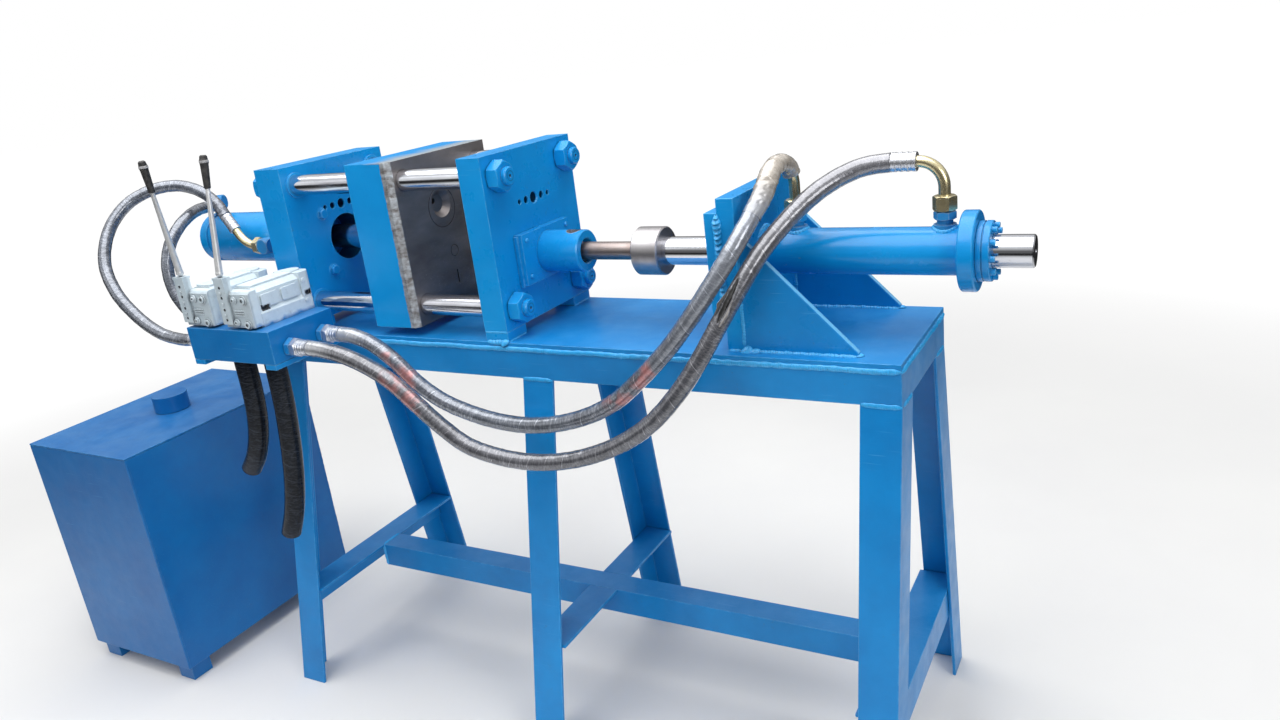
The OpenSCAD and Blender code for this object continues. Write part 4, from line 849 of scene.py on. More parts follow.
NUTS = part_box("tie_bar_nuts")
bar_chrome = ground_chrome("bar_chrome", (NUTS[0][0], NUTS[1][0]))
rod_chrome = ground_chrome("rod_chrome")
rod_steel = browned_steel("browned_rod", (0.36, 0.32, 0.31, 1.0), (0.21, 0.16, 0.14, 1.0), 500.0)
coupling_steel = browned_steel("turned_coupling", (0.50, 0.49, 0.50, 1.0), (0.30, 0.28, 0.29, 1.0), 800.0)
yellow_zinc = zinc_plate("yellow_zinc", (0.76, 0.69, 0.44, 1.0), (0.62, 0.52, 0.30, 1.0), 0.26)
bright_zinc = zinc_plate("bright_zinc", (0.66, 0.68, 0.73, 1.0), (0.54, 0.56, 0.61, 1.0), 0.33)
print("metals ready")

# %% [markdown]
# The moving platen is painted too, but its die face is bare steel browned by heat, and so are the bowl,
# the holes and the slot sunk in it. Its right front edge was cut with a torch: a rough strip with brown
# scale and bright ridges. One material holds all of these, told apart by where they are on the platen's
# own coordinates, so the pattern moves with the platen.

# %% Moving platen
MOVING_LOW, MOVING_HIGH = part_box("moving_platen")
DIE_FACE_X = MOVING_HIGH[0]
TORCH_STRIP = 0.016
RECESS_DEPTH, RECESS_EDGE = 0.045, 0.018


def moving_platen_finish():
    """Paint, then bare steel on the die face and inside its recesses, then the torch cut strip."""
    f = Finish("moving_platen", IOR=1.5, Specular_IOR_Level=0.35)
    paint = f.effect("patchy", One=BLUE, Other=BLUE_BRIGHT, Scale=7.0)
    edge = f.maths("MULTIPLY", f.effect("edge_wear", Radius=0.0022, Breakup=55.0), 0.6)
    paint = f.mixed(edge, paint, BLUE_PALE)
    x, y, z = f.add("SeparateXYZ", {0: f.here}).outputs
    cloud = f.maths("MULTIPLY", f.noise(f.here, 16.0, 5.0), 0.07)
    rubbed = f.ramp(f.maths("ADD", x, cloud), DIE_FACE_X - 0.030, DIE_FACE_X + 0.02)
    rubbed = f.maths("MULTIPLY", rubbed, f.ramp(z, MOVING_HIGH[2] - 0.002, MOVING_HIGH[2] - 0.0015))
    paint = f.mixed(rubbed, paint, (0.32, 0.37, 0.41, 1.0))
    face = f.ramp(x, DIE_FACE_X - 0.0012, DIE_FACE_X - 0.0006)
    inner = f.ramp(x, DIE_FACE_X - RECESS_DEPTH, DIE_FACE_X - RECESS_DEPTH + 0.0005)
    for axis, low, high in ((y, MOVING_LOW[1], MOVING_HIGH[1]), (z, MOVING_LOW[2], MOVING_HIGH[2])):
        inner = f.maths("MULTIPLY", inner, f.ramp(axis, low + RECESS_EDGE, low + RECESS_EDGE + 0.0005))
        inner = f.maths("MULTIPLY", inner, f.ramp(axis, high - RECESS_EDGE, high - RECESS_EDGE - 0.0005))
    face = f.maths("MAXIMUM", face, inner)
    ragged = f.maths("MULTIPLY", f.noise(f.here, 90.0, 4.0), 0.006)
    from_face = f.ramp(f.maths("ADD", x, ragged), DIE_FACE_X - TORCH_STRIP, DIE_FACE_X - TORCH_STRIP + 0.001)
    near_front = f.ramp(y, MOVING_LOW[1] + 0.012, MOVING_LOW[1] + 0.009)
    strip = f.maths("MULTIPLY", from_face, near_front)
    lines = f.noise(f.stretched(f.here, (30.0, 30.0, 95.0)), 1.0, 6.0, 0.7)
    scale = f.ramp(f.maths("ADD", lines, f.maths("MULTIPLY", f.noise(f.here, 130.0, 4.0), 0.6)), 0.62, 1.0)
    cut = f.mixed(scale, (0.19, 0.17, 0.16, 1.0), (0.56, 0.60, 0.64, 1.0))
    drawn = f.noise(f.stretched(f.here, (1.0, 7.0, 18.0)), 1.0, 6.0, 0.6)
    high = f.ramp(z, MOVING_LOW[2], MOVING_HIGH[2])
    heat = f.maths("ADD", f.ramp(drawn, 0.3, 0.7, 0.0, 0.6), f.maths("MULTIPLY", high, 0.4))
    steel = f.mixed(heat, (0.105, 0.090, 0.086, 1.0), (0.30, 0.275, 0.27, 1.0))
    steel = f.mixed(f.effect("scratches", Amount=0.7), steel, (0.55, 0.52, 0.50, 1.0))
    # Painted shade: the bare steel turns near black in the bowl, holes and slot, by ambient occlusion.
    steel = f.mixed(f.maths("MULTIPLY", f.effect("crevice_shade"), 0.85), steel, (0.016, 0.014, 0.013, 1.0))
    bare = f.maths("MAXIMUM", face, strip)
    colour = f.mixed(face, paint, steel)
    f.set("Base Color", f.mixed(strip, colour, cut))
    f.set("Metallic", f.between(bare, 0.0, 0.75))
    f.set("Roughness", f.between(bare, 0.27, 0.46))
    ridges = f.maths("MULTIPLY", f.maths("MULTIPLY", scale, strip), 3.0)
    f.bump(f.maths("ADD", ridges, f.effect("coat", Marks=0.6)), 0.0003, 0.6)
    return f.material


moving_blue = moving_platen_finish()
print("moving platen finish ready")

# %% [markdown]
# The lever valves are rough castings under bluish white paint, with a little blue overspray round their
# feet where the block was painted under them. Painted shade darkens their front covers, their crevices and
# the oval holes of their sides. The levers are plated rods with a black rubber grip.

# %% Valves and levers
OVAL_Y, OVAL_Z = (-0.146, -0.042), 0.0340
OVAL_HALF_Y, OVAL_HALF_Z = 0.0100, 0.0060
OVAL_SIDE, OVAL_DEPTH = 0.077, 0.014
OVAL_MIDDLES = [place([(0, y, 0)])[0][1] for y in OVAL_Y]
GRIP_LENGTH = 0.060


def valve_paint(node):
    """White paint with patchy grime, overspray at the foot, and painted shade in its hollows, on its front
    cover and in the ovals.
    """
    f = Finish(f"{node}_paint", IOR=1.5, Specular_IOR_Level=0.4)
    low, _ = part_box(node)
    colour = f.effect("patchy", One=(0.68, 0.77, 0.81, 1.0), Other=(0.56, 0.66, 0.72, 1.0), Scale=26.0)
    grime = f.ramp(f.noise(f.here, 60.0, 6.0, 0.66), 0.54, 0.76)
    colour = f.mixed(f.maths("MULTIPLY", grime, 0.35), colour, (0.24, 0.25, 0.26, 1.0))
    x, y, z = f.add("SeparateXYZ", {0: f.here}).outputs
    mist = f.maths("ADD", z, f.maths("MULTIPLY", f.noise(f.here, 45.0, 5.0), 0.02))
    colour = f.mixed(f.ramp(mist, low[2] + 0.018, low[2] + 0.009), colour, (0.02, 0.20, 0.48, 1.0))
    # Painted shade: near black inside the oval recesses of the sides.
    side = low[0] + OVAL_SIDE
    floor_x = side - OVAL_DEPTH
    deep = f.maths("MULTIPLY", f.ramp(x, side - 0.0006, side - 0.0016), f.ramp(x, floor_x, floor_x + 0.001))
    off_z = f.maths("ABSOLUTE", f.maths("SUBTRACT", z, low[2] + OVAL_Z))
    deep = f.maths("MULTIPLY", deep, f.ramp(off_z, OVAL_HALF_Z, OVAL_HALF_Z - 0.0003))
    ovals = 0.0
    for middle in OVAL_MIDDLES:
        off_y = f.maths("ABSOLUTE", f.maths("SUBTRACT", y, middle))
        ovals = f.maths("MAXIMUM", ovals, f.ramp(off_y, OVAL_HALF_Y, OVAL_HALF_Y - 0.0003))
    deep = f.maths("MULTIPLY", deep, ovals)
    colour = f.mixed(deep, colour, (0.030, 0.034, 0.042, 1.0))
    # Painted shade: the front cover is mixed towards a dark grey blue, darker than the sides.
    shaded_cover = f.ramp(y, low[1] + 0.012, low[1] + 0.009)
    colour = f.mixed(f.maths("MULTIPLY", shaded_cover, 0.38), colour, (0.20, 0.26, 0.32, 1.0))
    # Painted shade in the crevices, by ambient occlusion, strongest on the front cover.
    cover_crevice_shade = f.maths("MULTIPLY", f.effect("crevice_shade", Distance=0.010), f.between(shaded_cover, 0.40, 1.0))
    colour = f.mixed(cover_crevice_shade, colour, (0.028, 0.032, 0.040, 1.0))
    worn = f.maths("MULTIPLY", f.effect("edge_wear", Radius=0.0015, Breakup=60.0), 0.6)
    f.set("Base Color", f.mixed(worn, colour, (0.80, 0.84, 0.86, 1.0)))
    f.set("Roughness", f.between(grime, 0.40, 0.60))
    grain = f.maths("ADD", f.noise(f.here, 260.0, 3.0), f.maths("MULTIPLY", f.noise(f.here, 70.0), 2.0))
    f.bump(grain, 0.0005, 0.6)
    return f.material


def lever_finish(node):
    """The grip starts at a height on the lever: below it is plated steel, above it black rubber."""
    _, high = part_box(node)
    grip = high[2] - GRIP_LENGTH
    f = Finish(f"{node}_steel")
    black = f.spot(2, grip - 0.0004, grip + 0.0004)
    steel = f.effect("patchy", One=(0.78, 0.79, 0.80, 1.0), Other=(0.60, 0.61, 0.62, 1.0), Scale=50.0)
    above = f.spot(2, high[2] - 0.0145, high[2] - 0.0135)
    below = f.spot(2, high[2] - 0.0090, high[2] - 0.0100)
    ring = f.maths("MULTIPLY", above, below)
    worn = f.ramp(f.noise(f.here, 120.0), 0.4, 0.7)
    rubber = f.mixed(worn, (0.012, 0.012, 0.013, 1.0), (0.045, 0.043, 0.042, 1.0))
    rubber = f.mixed(ring, rubber, (0.34, 0.34, 0.35, 1.0))
    f.set("Base Color", f.mixed(black, steel, rubber))
    f.set("Metallic", f.between(black, 0.55, 0.0))
    f.set("Roughness", f.between(black, 0.33, 0.55))
    f.bump(f.noise(f.here, 400.0, 3.0), 0.0002, 0.4)
    return f.material


VALVES, LEVERS = ("right_valve", "left_valve"), ("right_lever", "left_lever")
valve_cast = {node: valve_paint(node) for node in VALVES}
lever_steel = {node: lever_finish(node) for node in LEVERS}
print(f"{len(valve_cast)} valve and {len(lever_steel)} lever finishes")

# %% [markdown]
# The hoses' film is clear plastic over black rubber. It could be a see-through second skin, but what the
# eye takes in is one surface: dark where the film clings, milky along its creases and its edge, glossy all
# over. So it is one material that follows the hose's own UV map. The loose film of the pressure hoses
# shines like foil, the film at the bend is cloudy, and on the drain hoses it lies tight and nearly black.

# %% Wrapping film
LOOSE_FILM = {"metal": 0.45, "ior": 1.45, "coat": 1.0, "fold": 0.0009, "bump": 0.50}
CLOUDY_FILM = {**LOOSE_FILM, "metal": 0.15}
TIGHT_FILM = {"metal": 0.0, "ior": 1.15, "coat": 0.22, "fold": 0.0003, "bump": 0.15}
HOSE_GIRTH, CLAMP_GIRTH, DRAIN_GIRTH = 0.0942, 0.0785, 0.1257


def wrapped_film(name, dark, light, girth=HOSE_GIRTH, stains=(), start=None, pale=None, look=LOOSE_FILM):
    """Clear film over a black hose: milky grey where it has creased, dark where it lies tight.

    U runs along the hose in metres and V round it, so turn = fraction(U / wrap turn - V / girth) follows
    the spiral, with a bright line at the film's edge. Creases are the thin contours |noise - 0.5| < 0.045
    of a noise drawn out along the slanted film, and < 0.05 of a finer one. A stain is a range of U with a
    reddish tint. The attribute called torn shows the black hose inside, start is the colour next to the
    ferrule, and pale is the range of U over which the film turns lighter."""
    f = Finish(name, Metallic=look["metal"], IOR=look["ior"], Coat_Weight=look["coat"], Coat_Roughness=0.07)
    u, v, _ = f.add("SeparateXYZ", {0: f.uv}).outputs
    turn = f.maths("FRACT", f.maths("SUBTRACT", f.maths("DIVIDE", u, WRAP_TURN), f.maths("DIVIDE", v, girth)))
    lap = f.maths("MULTIPLY", f.ramp(turn, 0.93, 0.97), f.ramp(turn, 1.0, 0.985))
    lap = f.maths("MULTIPLY", lap, f.ramp(f.noise(f.here, 55.0, 3.0), 0.36, 0.62, 0.10, 0.75))
    slanted = f.stretched(f.uv, (170.0, 34.0, 1.0), (0.0, 0.0, 0.60))
    ripple = f.noise(slanted, 1.0, 3.0, 0.55)
    fine = f.noise(f.stretched(f.uv, (520.0, 90.0, 1.0), (0.0, 0.0, 0.66)), 1.0, 2.0)
    lines = f.ramp(f.maths("ABSOLUTE", f.maths("SUBTRACT", ripple, 0.5)), 0.045, 0.0)
    thin = f.ramp(f.maths("ABSOLUTE", f.maths("SUBTRACT", fine, 0.5)), 0.05, 0.0)
    cloudy = f.ramp(f.noise(f.here, 24.0, 4.0), 0.30, 0.70)
    milk = f.maths("MAXIMUM", f.maths("MULTIPLY", thin, 0.6), lines)
    milk = f.maths("MULTIPLY", milk, f.between(cloudy, 0.30, 0.62))
    milk = f.maths("MAXIMUM", milk, lap)
    base = f.mixed(cloudy, tuple(c * 0.62 for c in dark[:3]) + (1.0,), dark)
    colour = f.mixed(milk, base, light)
    if pale:
        colour = f.mixed(f.ramp(u, pale[0], pale[1], 0.0, 0.45), colour, light)
    for low, high in stains:
        stain = f.maths("MULTIPLY", f.ramp(u, low, low + 0.02), f.ramp(u, high, high - 0.02))
        stain = f.maths("MULTIPLY", stain, f.ramp(f.noise(f.here, 34.0, 3.0), 0.42, 0.60))
        colour = f.mixed(f.maths("MULTIPLY", stain, 0.6), colour, (0.60, 0.20, 0.18, 1.0))
    if start:
        colour = f.mixed(f.ramp(u, 0.015, 0.065), start, colour)
    rubber = f.add("Attribute", attribute_name="torn", attribute_type="GEOMETRY").outputs["Fac"]
    bare = f.ramp(rubber, 0.15, 0.40)
    f.set("Base Color", f.mixed(bare, colour, (0.010, 0.010, 0.011, 1.0)))
    f.set("Roughness", f.between(milk, 0.20, 0.34))
    folds = f.maths("ADD", f.maths("MULTIPLY", ripple, 1.6), f.maths("MULTIPLY", fine, 0.7))
    f.bump(folds, look["fold"], look["bump"])
    return f.material


print("film recipe ready")

# %% [markdown]
# Each hose has its own shade: the front one silver, the rear one greyer and browner, the drains black. Red
# dust stains lie low on the long hoses, and their upper ends are paler, where the film is new.

# %% Film of each hose
SILVER, SILVER_LIGHT = (0.120, 0.136, 0.170, 1.0), (0.44, 0.47, 0.53, 1.0)
BROWN_GREY, BROWN_LIGHT = (0.098, 0.102, 0.120, 1.0), (0.34, 0.34, 0.37, 1.0)
DRAIN, DRAIN_LIGHT = (0.006, 0.008, 0.012, 1.0), (0.045, 0.055, 0.075, 1.0)
hose_film = {
    "front_shot_hose": wrapped_film(
        "silver_film", SILVER, SILVER_LIGHT, stains=((0.10, 0.21), (0.62, 0.76)),
        start=(0.42, 0.44, 0.47, 1.0), pale=(0.72, 1.0),
    ),
    "rear_shot_hose": wrapped_film(
        "brown_film", BROWN_GREY, BROWN_LIGHT, stains=((0.17, 0.28),),
        start=(0.40, 0.41, 0.43, 1.0), pale=(0.95, 1.30),
    ),
    "left_drain_hose": wrapped_film(
        "short_drain_film", DRAIN, DRAIN_LIGHT, DRAIN_GIRTH, pale=(0.20, 0.26), look=TIGHT_FILM
    ),
    "right_drain_hose": wrapped_film(
        "long_drain_film", DRAIN, DRAIN_LIGHT, DRAIN_GIRTH, pale=(0.36, 0.41), look=TIGHT_FILM
    ),
    "clamp_front_hose": wrapped_film("thin_film", SILVER, SILVER_LIGHT, CLAMP_GIRTH),
    "clamp_rear_hose": wrapped_film("thin_rear_film", SILVER, SILVER_LIGHT, CLAMP_GIRTH),
}
cream_film = wrapped_film(
    "cream_film", (0.48, 0.43, 0.37, 1.0), (0.66, 0.62, 0.57, 1.0),
    start=(0.34, 0.355, 0.39, 1.0), look=CLOUDY_FILM,
)
torn_film = wrapped_film("torn_film", (0.20, 0.19, 0.19, 1.0), (0.48, 0.46, 0.45, 1.0))
print(f"{len(hose_film) + 2} kinds of film")

# %% [markdown]
# ## Weld beads
#
# The frame is welded with a stick electrode and painted over. A bead is a row of overlapping pools, like
# coins pushed along the seam: the front of each pool is a bow that runs ahead in the middle, and the bead
# steps down to the next pool behind it. A clean seam has small even pools, a heavy one large uneven ones.

# %% Beads
BEAD_STEP = 0.0009
BEAD_ACROSS = 9
BEAD_SINK = 0.0006


def wave(along, length, rng):
    """Between about -1 and 1: the mean of three sines with lengths near the one given, seeded."""
    turns = 2 * np.pi * along
    return sum(np.sin(turns / (length * rng.uniform(0.6, 1.6)) + rng.uniform(0, 6.28)) for _ in range(3)) / 3


def bead_grid(line, up, width, height, seed, pool=0.0036, lumps=0.35, ring=False):
    """Points of one bead along a line, swelling towards up, which is a direction or a function of the points.

    Across the bead a runs from 0 to pi and each point is
    line + side (w / 2) cos a + up (h sin a - sink), with w = width (1 + wave / 7) and
    h = height (1 - lumps fraction(s / pool + 0.45 sin a)) (1 + wave / 4). The ends taper as a root."""
    rng = np.random.default_rng(seed)
    path = even_path(line, BEAD_STEP)
    along, tangent = path_frames(path)[:2]
    rise = np.broadcast_to(up(path) if callable(up) else np.asarray(up, float), path.shape)
    rise = rise - tangent * (rise * tangent).sum(1)[:, None]
    rise = rise / np.linalg.norm(rise, axis=1)[:, None]
    side = np.cross(tangent, rise)
    a = np.linspace(0, np.pi, BEAD_ACROSS)[None, :]
    s = along[:, None]
    taper = 1.0 if ring else np.sqrt(np.clip(np.minimum(s, along[-1] - s) / width, 0.03, 1))
    front = s / pool + 0.45 * np.sin(a) + 0.6 * wave(s, 9 * pool, rng)
    swell = height * (1 - lumps * np.mod(front, 1)) * (1 + wave(s, 4 * pool, rng) / 4)
    half = width / 2 * (1 + wave(s, 5 * pool, rng) / 7) * taper
    drift = width / 12 * wave(s, 30 * pool, rng)
    lift = swell * taper * np.sin(a) - BEAD_SINK
    sideways = (half * np.cos(a) + drift)[..., None]
    return place(path[:, None] + side[:, None] * sideways + rise[:, None] * lift[..., None])


def ring_line(centre, radius, axis, count=120, dip=0.0):
    """A closed circle round X, 0, or Z, 2. With a dip it is a saddle on a barrel of that radius."""
    t = np.linspace(0, 2 * np.pi, count + 1)
    flat, other = radius * np.cos(t), radius * np.sin(t)
    if axis == 0:
        return np.array(centre) + np.stack([0 * t, flat, other], -1)
    low = np.sqrt(dip**2 - other**2) - dip if dip else 0 * t
    return np.array(centre) + np.stack([flat, other, low], -1)


def away_from(centre, tilt):
    """Up direction for a ring: away from its centre, plus a tilt."""

    def way(points):
        off = points - np.array(centre)
        return off / np.linalg.norm(off, axis=1)[:, None] + np.array(tilt)

    return way


def blob_grid(spot, radius, flat, up, seed, rows=7, columns=14):
    """A rounded lump of weld metal: part of a sphere, squashed by flat, with a wavy outline."""
    rng = np.random.default_rng(seed)
    up = np.array(up, float) / np.linalg.norm(up)
    one = np.cross(up, (0.3, 0.9, 0.2))
    one /= np.linalg.norm(one)
    other = np.cross(up, one)
    turn = np.linspace(0, 2 * np.pi, columns, endpoint=False)[None, :]
    out = np.linspace(0.12, 1, rows)[:, None]
    outline = 1.0
    for bumps, height in ((2, 0.14), (3, 0.09)):
        outline = outline + height * np.sin(bumps * turn + rng.uniform(0, 6.28))
    reach = radius * out * outline
    lift = radius * flat * np.sqrt(1 - (0.98 * out) ** 2) - BEAD_SINK + 0 * turn
    round_it = np.cos(turn)[..., None] * one + np.sin(turn)[..., None] * other
    return place(np.array(spot) + reach[..., None] * round_it + lift[..., None] * up)


TOP, FRONT, BACK, LEFT, RIGHT = (0, 0, 1), (0, -1, 0), (0, 1, 0), (-1, 0, 0), (1, 0, 0)


def between(*ways):
    """The direction half way between several."""
    return tuple(np.sum(ways, axis=0))


class Seams(Pile):
    """A pile of weld metal."""

    def bead(self, line, up, width, height, seed, **how):
        self.add(bead_grid(line, up, width, height, seed, **how), closed=False)

    def ring(self, centre, line, tilt, width, height, seed, **how):
        self.bead(line, away_from(centre, tilt), width, height, seed, ring=True, **how)

    def blob(self, spot, radius, flat, up, seed):
        self.add(blob_grid(spot, radius, flat, up, seed))


print("bead helpers ready")

# %% [markdown]
# The seams of the table run under its top plate, where the plate lies on the rails, and where the legs
# meet the rails. Each entry is a line's two ends, the way it swells, its width and its height.

# %% Seams of the table and of the lower frame
seam_z, rail_z = TABLE_LOW[2] - 0.002, 0.732
left, right = TABLE_LOW[0], TABLE_HIGH[0]
front, back = TABLE_LOW[1], TABLE_HIGH[1]
table_seams = [
    ((left, front, seam_z), (right, front, seam_z), FRONT, 0.0100, 0.0044),
    ((right, front, seam_z), (right, back, seam_z), RIGHT, 0.0100, 0.0044),
    ((right, back, seam_z), (left, back, seam_z), BACK, 0.0100, 0.0044),
    ((left, back, seam_z), (left, front, seam_z), LEFT, 0.0100, 0.0044),
]
for low_x in (-1.330, -0.690, -0.065):
    table_seams.append(((low_x, front, rail_z), (low_x + 0.065, front, rail_z), FRONT, 0.0090, 0.0032))
    table_seams.append(((low_x, back, rail_z), (low_x + 0.065, back, rail_z), BACK, 0.0090, 0.0032))
for x, way in ((left, LEFT), (right, RIGHT)):
    table_seams.append(((x, front + 0.006, rail_z), (x, front + 0.062, rail_z), way, 0.0085, 0.0030))
    table_seams.append(((x, back - 0.062, rail_z), (x, back - 0.006, rail_z), way, 0.0085, 0.0030))
for x, way in ((-1.2733, between(RIGHT, FRONT)), (-0.0716, between(LEFT, FRONT))):
    table_seams.append(((x, 0.120, 0.168), (x, 0.120, 0.223), way, 0.0080, 0.0030))
    table_seams.append(((x, 0.120, 0.223), (x, 0.175, 0.223), (way[0], 0, 1), 0.0080, 0.0030))
beads = Seams()
for number, (start, end, up, width, height) in enumerate(table_seams):
    beads.bead([start, end], up, width, height, 100 + number)
beads.piece("table_beads", highlit_weld_blue)

# %% [markdown]
# The bracket carries the whole push of the cylinder, so its seams are heavy. The one between the front
# edges of the flange and the plate is a column of large lumps. Rings run round the barrel and its bosses.

# %% Seams of the bracket and the cylinders
plate_l, plate_r = -0.286, -0.2557
gusset_r, gusset_top = -0.0697, 0.986
top_z = TABLE_HIGH[2]
shot_y, shot_z, clamp_z = 0.1475, 0.935, 0.967
boss_z, barrel_r = 0.9727, 0.0377
heavy = Seams()
front_edge = [(plate_l, 0.0245, 0.846), (plate_l, 0.0245, 1.026)]
top_edge = [(plate_l, 0.026, 1.0250), (plate_l, 0.269, 1.0250)]
back_edge = [(plate_l, 0.270, 0.846), (plate_l, 0.270, 1.024)]
gusset_edge = [(plate_r, 0.0242, 0.806), (plate_r, 0.0242, 0.982)]
heavy.bead(front_edge, FRONT, 0.0150, 0.0090, 7, pool=0.0078, lumps=0.62)
heavy.bead(top_edge, between(LEFT, TOP), 0.0120, 0.0048, 8, pool=0.0052, lumps=0.45)
heavy.bead(back_edge, BACK, 0.0120, 0.0050, 9, pool=0.0058, lumps=0.5)
heavy.bead(gusset_edge, between(FRONT, (0.25, 0, 0)), 0.0072, 0.0026, 10, pool=0.0042, lumps=0.5)
# Rings round the barrels: centre, radius, which way they lean, width, height, seed and the size of the pools
RINGS = (
    ((plate_r + 0.0004, shot_y, shot_z), 0.0418, 0.9, 0.0125, 0.0050, 11, 0.0060, 0.5),
    ((0.0612, shot_y, shot_z), barrel_r, -0.9, 0.0080, 0.0030, 12, 0.0036, 0.35),
    ((-1.2703, shot_y, clamp_z), 0.0552, -0.9, 0.0110, 0.0042, 13, 0.0048, 0.4),
)
for centre, radius, lean, width, height, seed, pool, lumps in RINGS:
    line = ring_line(centre, radius, 0)
    heavy.ring(centre, line, (lean, 0, 0), width, height, seed, pool=pool, lumps=lumps)
for number, x in enumerate((0.035, -0.200)):
    centre = (x, shot_y, boss_z)
    line = ring_line(centre, 0.0178, 2, dip=barrel_r)
    heavy.ring(centre, line, (0, 0, 0.8), 0.0078, 0.0032, 14 + number, pool=0.0046, lumps=0.5)
for number, (y, way) in enumerate(((0.024, FRONT), (0.036, BACK), (0.278, FRONT), (0.290, BACK))):
    foot = [(plate_r + 0.004, y, top_z), (gusset_r, y, top_z)]
    heavy.bead(foot, between(way, TOP), 0.0095, 0.0044, 20 + number, pool=0.0046)
    if way != FRONT or y > 0.1:
        upright = [(plate_r, y, top_z + 0.004), (plate_r, y, gusset_top)]
        heavy.bead(upright, between(way, RIGHT), 0.0075, 0.0030, 30 + number)
for number, (x, way) in enumerate(((plate_l, LEFT), (plate_r, RIGHT))):
    heavy.bead([(x, 0.028, top_z), (x, 0.286, top_z)], between(way, TOP), 0.0085, 0.0034, 40 + number)
heavy.bead([(plate_l, 0.024, top_z), (plate_r, 0.024, top_z)], between(FRONT, TOP), 0.0085, 0.0034, 42)
BLOBS = (
    (plate_r + 0.004, 0.022, 0.0120), (plate_r + 0.018, 0.021, 0.0085),
    (gusset_r, 0.030, 0.0075), (gusset_r, 0.284, 0.0080),
)
for number, (x, y, radius) in enumerate(BLOBS):
    heavy.blob((x, y, top_z), radius, 0.62, between(FRONT, TOP) if y < 0.025 else TOP, 50 + number)
heavy.piece("bracket_beads", highlit_weld_blue)

# %% [markdown]
# The fixed platens and their packing blocks are held to the table by short beads at the four ends of their
# long edges, with one bead and a lump of weld along each front. The tank has a thin seam up each corner.

# %% Seams of the platens and the tank
FOOT_LENGTH, FOOT_Y = 0.058, (0.004, 0.290)
shot_foot, clamp_foot = (-0.760, -0.710), (-1.270, -1.202)
feet = Seams()
for number, (x, way) in enumerate(zip(shot_foot + clamp_foot, (LEFT, RIGHT, LEFT, RIGHT))):
    y0, y1 = FOOT_Y
    near = [(x, y0, top_z + 0.0002), (x, y0 + FOOT_LENGTH, top_z + 0.0002)]
    far = [(x, y1 - FOOT_LENGTH, top_z + 0.0002), (x, y1, top_z + 0.0002)]
    feet.bead(near, between(way, TOP), 0.0070, 0.0026, 60 + number)
    feet.bead(far, between(way, TOP), 0.0070, 0.0026, 64 + number)
for number, (x0, x1) in enumerate((shot_foot, clamp_foot)):
    joint = [(x0, 0.0025, 0.818), (x1, 0.0025, 0.818)]
    foot = [(x0, 0.0022, top_z), (x1, 0.0022, top_z)]
    feet.bead(joint, FRONT, 0.0040, 0.0014, 70 + number, lumps=0.2)
    feet.bead(foot, between(FRONT, TOP), 0.0100, 0.0055, 72 + number, pool=0.0062, lumps=0.60)
    feet.blob((x1 - 0.007, 0.001, top_z - 0.001), 0.0085, 0.7, between(FRONT, TOP), 74 + number)
feet.piece("foot_beads", highlit_weld_blue)
corners = Seams()
for number, y in enumerate((-0.2335, 0.2665)):
    line = [(-1.5942, y, 0.044), (-1.5942, y, 0.566)]
    corners.bead(line, RIGHT, 0.0060, 0.0018, 80 + number, lumps=0.4)
corners.piece("tank_beads", shaded_tank_blue)

# %% [markdown]
# ## Bolts and screws
#
# A bolt head is a short profile turned round its axis. Where the profile is a hexagon, its radius changes
# with the angle: apothem over the cosine of the angle from the middle of the nearest flat. A socket screw
# is a round head with a hexagonal pit, and all of them carry the same paint as the part that they hold.

# %% Turned shapes
def lathe_grid(profile, spot, axis, sides=24, turn=0.0):
    """Points of a profile turned round an axis from a spot on the machine.

    Each entry is (radius, height, hexagonal or not). A hexagon's radius at angle a is
    apothem / cos(mod(a, 60 degrees) - 30 degrees)."""
    axis = np.array(axis, float) / np.linalg.norm(axis)
    one = np.cross(axis, (0.2, 0.3, 0.93) if abs(axis[2]) < 0.8 else (0.2, 0.93, 0.3))
    one /= np.linalg.norm(one)
    other = np.cross(one, axis)
    a = np.linspace(0, 2 * np.pi, sides, endpoint=False)
    hexagon = 1 / np.cos(np.mod(a, np.pi / 3) - np.pi / 6)
    ring = np.cos(a + turn)[:, None] * one + np.sin(a + turn)[:, None] * other
    rows = [
        np.array(spot) + height * axis + (radius * (hexagon if six else np.ones(sides)))[:, None] * ring
        for radius, height, six in profile
    ]
    return place(np.array(rows))


def socket_head(d, h, key):
    """A round head with a small chamfer and a hexagonal pit of width key, 60 percent of the head deep."""
    r, edge = d / 2, d * 0.05
    return [
        (r, 0, False), (r, h - edge, False), (r - edge, h, False), (key / 2 * 1.22, h, False),
        (key / 2, h - 0.0004, True), (key / 2, h * 0.4, True), (0.0002, h * 0.36, False),
    ]


def hex_head(across, h):
    """A hexagonal head: its top is turned to a cone, so the corners are cut at 30 degrees."""
    apothem = across / 2
    return [
        (apothem, 0, True), (apothem, h * 0.80, True), (apothem * 0.985, h * 0.90, False),
        (apothem * 0.90, h, False), (0.0002, h * 1.005, False),
    ]


def round_head(d, h):
    """A low domed head: radius cos(t) and height sin(t), with t from 0 to a right angle."""
    t = np.linspace(0, np.pi / 2, 6)
    rows = [(d / 2 * math.cos(x) + 0.0001, h * (0.25 + 0.75 * math.sin(x)), False) for x in t]
    return [(d / 2, 0, False)] + rows


print("bolt shapes ready")

# %% [markdown]
# Four low screws hold the plates of the sleeve, ten socket screws the gland at the cylinder's end, and
# four large bolts on washers the clamp cylinder. Their heads all went under the brush with the rest.

